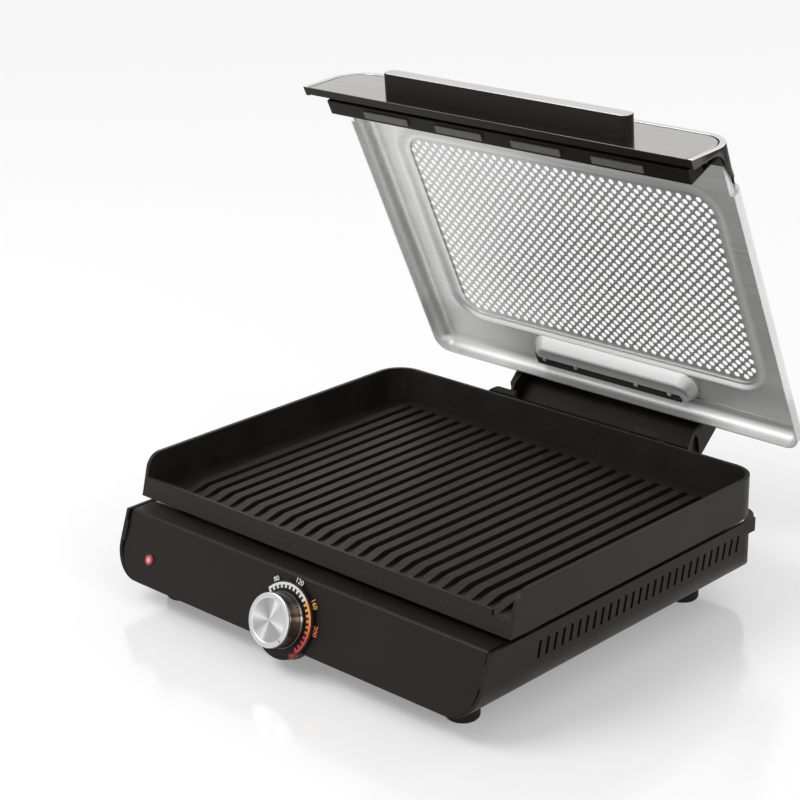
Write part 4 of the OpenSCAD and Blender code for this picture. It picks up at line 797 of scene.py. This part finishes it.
screen_steel = brushed("screen_steel", (0.66, 0.66, 0.655), 0.44, 420, (0.03, 1, 1), 0.000006,
                       metallic=0.8)
screen = repeated("perforated_screen", {
    "Width": 2 * screen_half, "Depth": screen_far - screen_near, "Corner": screen_corner,
    "Thickness": 0.0008, "Pitch": 0.008545, "Row pitch": 0.0087, "Columns": 34, "Rows": 20,
    "Hole radius": 0.0024, "Hole sides": 14, "Field half width": 0.1412, "Field half depth": 0.0829,
    "Field corner": 0.008}, screen_steel, perforated)
screen.transform(Matrix.Translation((0, (screen_near + screen_far) / 2, top_height + bevel_rise)))
screen.transform(swing)
screen_piece = keep(screen, "screen_sheet", "lid")
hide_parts("perforated_screen")

# ---- lid trim ------------------------------------------------------------------------------
# A moulded cap is clipped over the lid's front edge, with a flat metal face and cheeks that
# reach down beside the plate. A channel behind it closes over the plate's lip.
trim_plastic, start, surface = finish("trim_plastic", Roughness=0.40, Specular_IOR_Level=0.16)
grit = start.noise(2100, 2)
across = start.node("TexCoord", None, None, "Object")
across = start.node("SeparateXYZ", None, {0: across})
# painted sheen: the moulding's outer side faces are coloured a lighter grey than the rest
painted_side_sheen = start.math("ABSOLUTE", across).spread(lid_half - 0.0009, lid_half - 0.0004)
shade = grit.spread(0.3, 0.7).blend((0.0080, 0.0064, 0.0052), (0.0105, 0.0086, 0.0072))
feed(painted_side_sheen.blend(shade, (0.100, 0.094, 0.088)), surface, "Base Color")
feed(grit.spread(0.3, 0.7, 0.36, 0.44), surface, "Roughness")

# the face's own frame while the lid is closed: X to the right, Y up the face, Z out of it
face_foot = (0, front - 0.0086, 0.070)
face_lean = 20.7                         # degrees by which the face leans back from upright
face_frame = Matrix.Translation(face_foot) @ Matrix.Rotation(math.radians(90 - face_lean), 4, "X")
open_face = swing @ face_frame
face_reach, face_turn = 0.0570, 0.027    # length of the face, and the radius of its far corners
tuck_depth = 0.026                       # below the face by this much, a corner keeps its own shape
toe_edge = 0.0006                        # where the metal on the face begins, up from its foot
rim_width, face_inset = 0.0042, 0.0054   # width of the steel rim, and from where the metal face starts


def face_outline(inset, low, steps=12):
    """a line from the toe's left corner, round the face's far corners, to its right one"""
    half, turn = lid_half - inset, face_turn - inset
    points = [(-half, low)]
    for side, first in ((-1, 180), (1, 90)):
        for i in range(steps + 1):
            angle = math.radians(first - 90 * i / steps)
            points.append((side * (half - turn) + turn * math.cos(angle),
                           face_reach - face_turn + turn * math.sin(angle)))
    return points + [(half, low)]


def tuck_corner(point):
    """draws the cap's far corners in to the face's round outline, less and less with depth"""
    local = open_face.inverted() @ point
    centre = Vector((math.copysign(lid_half - face_turn, local.x), face_reach - face_turn))
    beyond = Vector((local.x, local.y)) - centre
    if beyond.x * centre.x > 0 and beyond.y > 0 and beyond.length > face_turn:
        kept = min(1, max(0, -local.z / tuck_depth))
        beyond *= face_turn / beyond.length + (1 - face_turn / beyond.length) * kept
        local.x, local.y = centre.x + beyond.x, centre.y + beyond.y
        return open_face @ local
    return point


def cap_sheet(outer, inner, low, high, name, material):
    """a flat sheet on the face between two outlines, or inside the outer one; the lid carries it"""
    sheet = bmesh.new()
    floors = []
    for height in (low, high):
        rim_points = [sheet.verts.new((x, y, height)) for x, y in outer]
        if inner:
            hole = [sheet.verts.new((x, y, height)) for x, y in inner]
            for a in range(len(outer) - 1):
                sheet.faces.new((rim_points[a], rim_points[a + 1], hole[a + 1], hole[a]))
            floors.append(rim_points + hole[::-1])
        else:
            sheet.faces.new(rim_points)
            floors.append(rim_points)
    below, above = floors
    for a in range(len(below)):
        b = (a + 1) % len(below)
        sheet.faces.new((below[a], below[b], above[b], above[a]))
    bmesh.ops.recalc_face_normals(sheet, faces=sheet.faces)
    mesh = bpy.data.meshes.new(name)
    sheet.to_mesh(mesh)
    sheet.free()
    mesh.materials.append(material)
    mesh.transform(open_face)
    mesh.shade_smooth()
    mesh.set_sharp_from_angle(angle=math.radians(38))
    piece = keep(mesh, name, "lid")
    edge = piece.modifiers.new("edge", "BEVEL")
    edge.width = (high - low) * 0.35
    edge.segments = 2
    edge.angle_limit = math.radians(38)
    weigh(piece)
    return piece


refined("lid_trim", "lid", trim_plastic, 0.0006, 3, reshape=tuck_corner)
baffle_plastic = dark_shell("baffle_plastic", (0.0070, 0.0056, 0.0046), 0.5, 1900)
refined("trim_baffle", "lid", baffle_plastic, 0.0005)
face_metal = brushed("face_metal", (0.40, 0.395, 0.385), 0.13, 500, (0.03, 1, 1), 0.000003)
face_piece = cap_sheet(face_outline(face_inset, toe_edge), None, -0.0008, 0.0001, "face_sheet",
                       face_metal)
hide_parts("trim_face")
band_steel = brushed("band_steel", (0.66, 0.66, 0.655), 0.30, 500, (0.03, 1, 1), 0.000003)
cap_sheet(face_outline(0, toe_edge), face_outline(rim_width, toe_edge), -0.0004, 0.0003, "cap_rim",
          band_steel)
bumper_material, start, surface = finish("lip_bumper_rubber", Roughness=0.6)
chalk = start.noise(900, 3).spread(0.4, 0.7).blend((0.10, 0.097, 0.093), (0.15, 0.146, 0.14))
feed(chalk, surface, "Base Color")
coat(["lip_bumpers"], bumper_material)

# ---- handle --------------------------------------------------------------------------------
# A moulded bar stands on the cap's face, screwed on from behind. A thin brushed plate is let
# into its top, and is left bare.
handle_plastic = dark_shell("handle_plastic", (0.0085, 0.0066, 0.0052), 0.36, 2100)
refined("handle_bar", "lid", handle_plastic, 0.0010, 3)
handle_metal = brushed("handle_metal", (0.63, 0.622, 0.61), 0.34, 500, (0.03, 1, 1))
refined("handle_plate", "lid", handle_metal, 0.0002)
coat(["handle_screws", "bracket_bolts", "hood_screws"], zinc)

# ---- lid bracket and hood ------------------------------------------------------------------
# A folded steel bracket is bolted to the lid's pocket and carries it on the hinge pins. A
# moulded hood is screwed over it.
bracket_enamel = dark_shell("bracket_enamel", (0.0090, 0.0074, 0.0062), 0.40, 1800)
refined("hinge_bracket", "lid", bracket_enamel, 0.0003)
hood_plastic = dark_shell("hood_plastic", (0.0115, 0.0094, 0.0076), 0.42, 2000)
refined("hinge_hood", "lid", hood_plastic, 0.0008, 3)

# ---- studio --------------------------------------------------------------------------------
# A pale, slightly glossy floor that keeps the grill's shadow, in a white surround. Four broad
# soft lamps stand round it.
bpy.ops.mesh.primitive_plane_add(size=12)
floor = bpy.context.object
floor.name = "floor"
floor_material, start, surface = finish("floor", Base_Color=(0.80, 0.80, 0.80, 1), Roughness=0.13,
                                        IOR=1.6)
surface.inputs["Emission Color"].default_value = (1, 1, 1, 1)


def direct(start):
    """1 for what the camera sees, straight or mirrored or through glass, and 0 for other light"""
    seen, mirrored, through = (start.node("LightPath", None, None, "Is %s Ray" % ray)
                               for ray in ("Camera", "Glossy", "Transmission"))
    return start.math("MINIMUM", seen + mirrored + through, 1.0)


feed(direct(start).spread(0, 1, 0.04, 0.25), surface, "Emission Strength")
floor.data.materials.append(floor_material)

world = bpy.data.worlds.new("studio")
bpy.context.scene.world = world
world.use_nodes = True
background = world.node_tree.nodes["Background"]
background.inputs["Color"].default_value = (1, 1, 1, 1)
feed(direct(Wire(world.node_tree)).spread(0, 1, 0.45, 1.0), background, "Strength")


def lamp(name, place, aim, size, power):
    light = bpy.data.lights.new(name, "AREA")
    light.shape = "RECTANGLE"
    light.size, light.size_y = size
    light.energy = power
    holder = bpy.data.objects.new(name, light)
    holder.location = place
    holder.rotation_euler = (Vector(aim) - Vector(place)).to_track_quat("-Z", "Y").to_euler()
    bpy.context.scene.collection.objects.link(holder)


lamp("key", (-0.9, -1.3, 1.9), (0, 0, 0.1), (1.4, 1.0), 26)
lamp("fill", (1.9, -0.3, 1.1), (0, 0, 0.1), (1.2, 1.2), 9)
lamp("rim", (0.2, 1.9, 1.6), (0, 0, 0.2), (1.6, 0.8), 6)
lamp("front", (0.5, -1.9, 0.5), (0, 0.1, 0.25), (1.6, 0.8), 3.5)
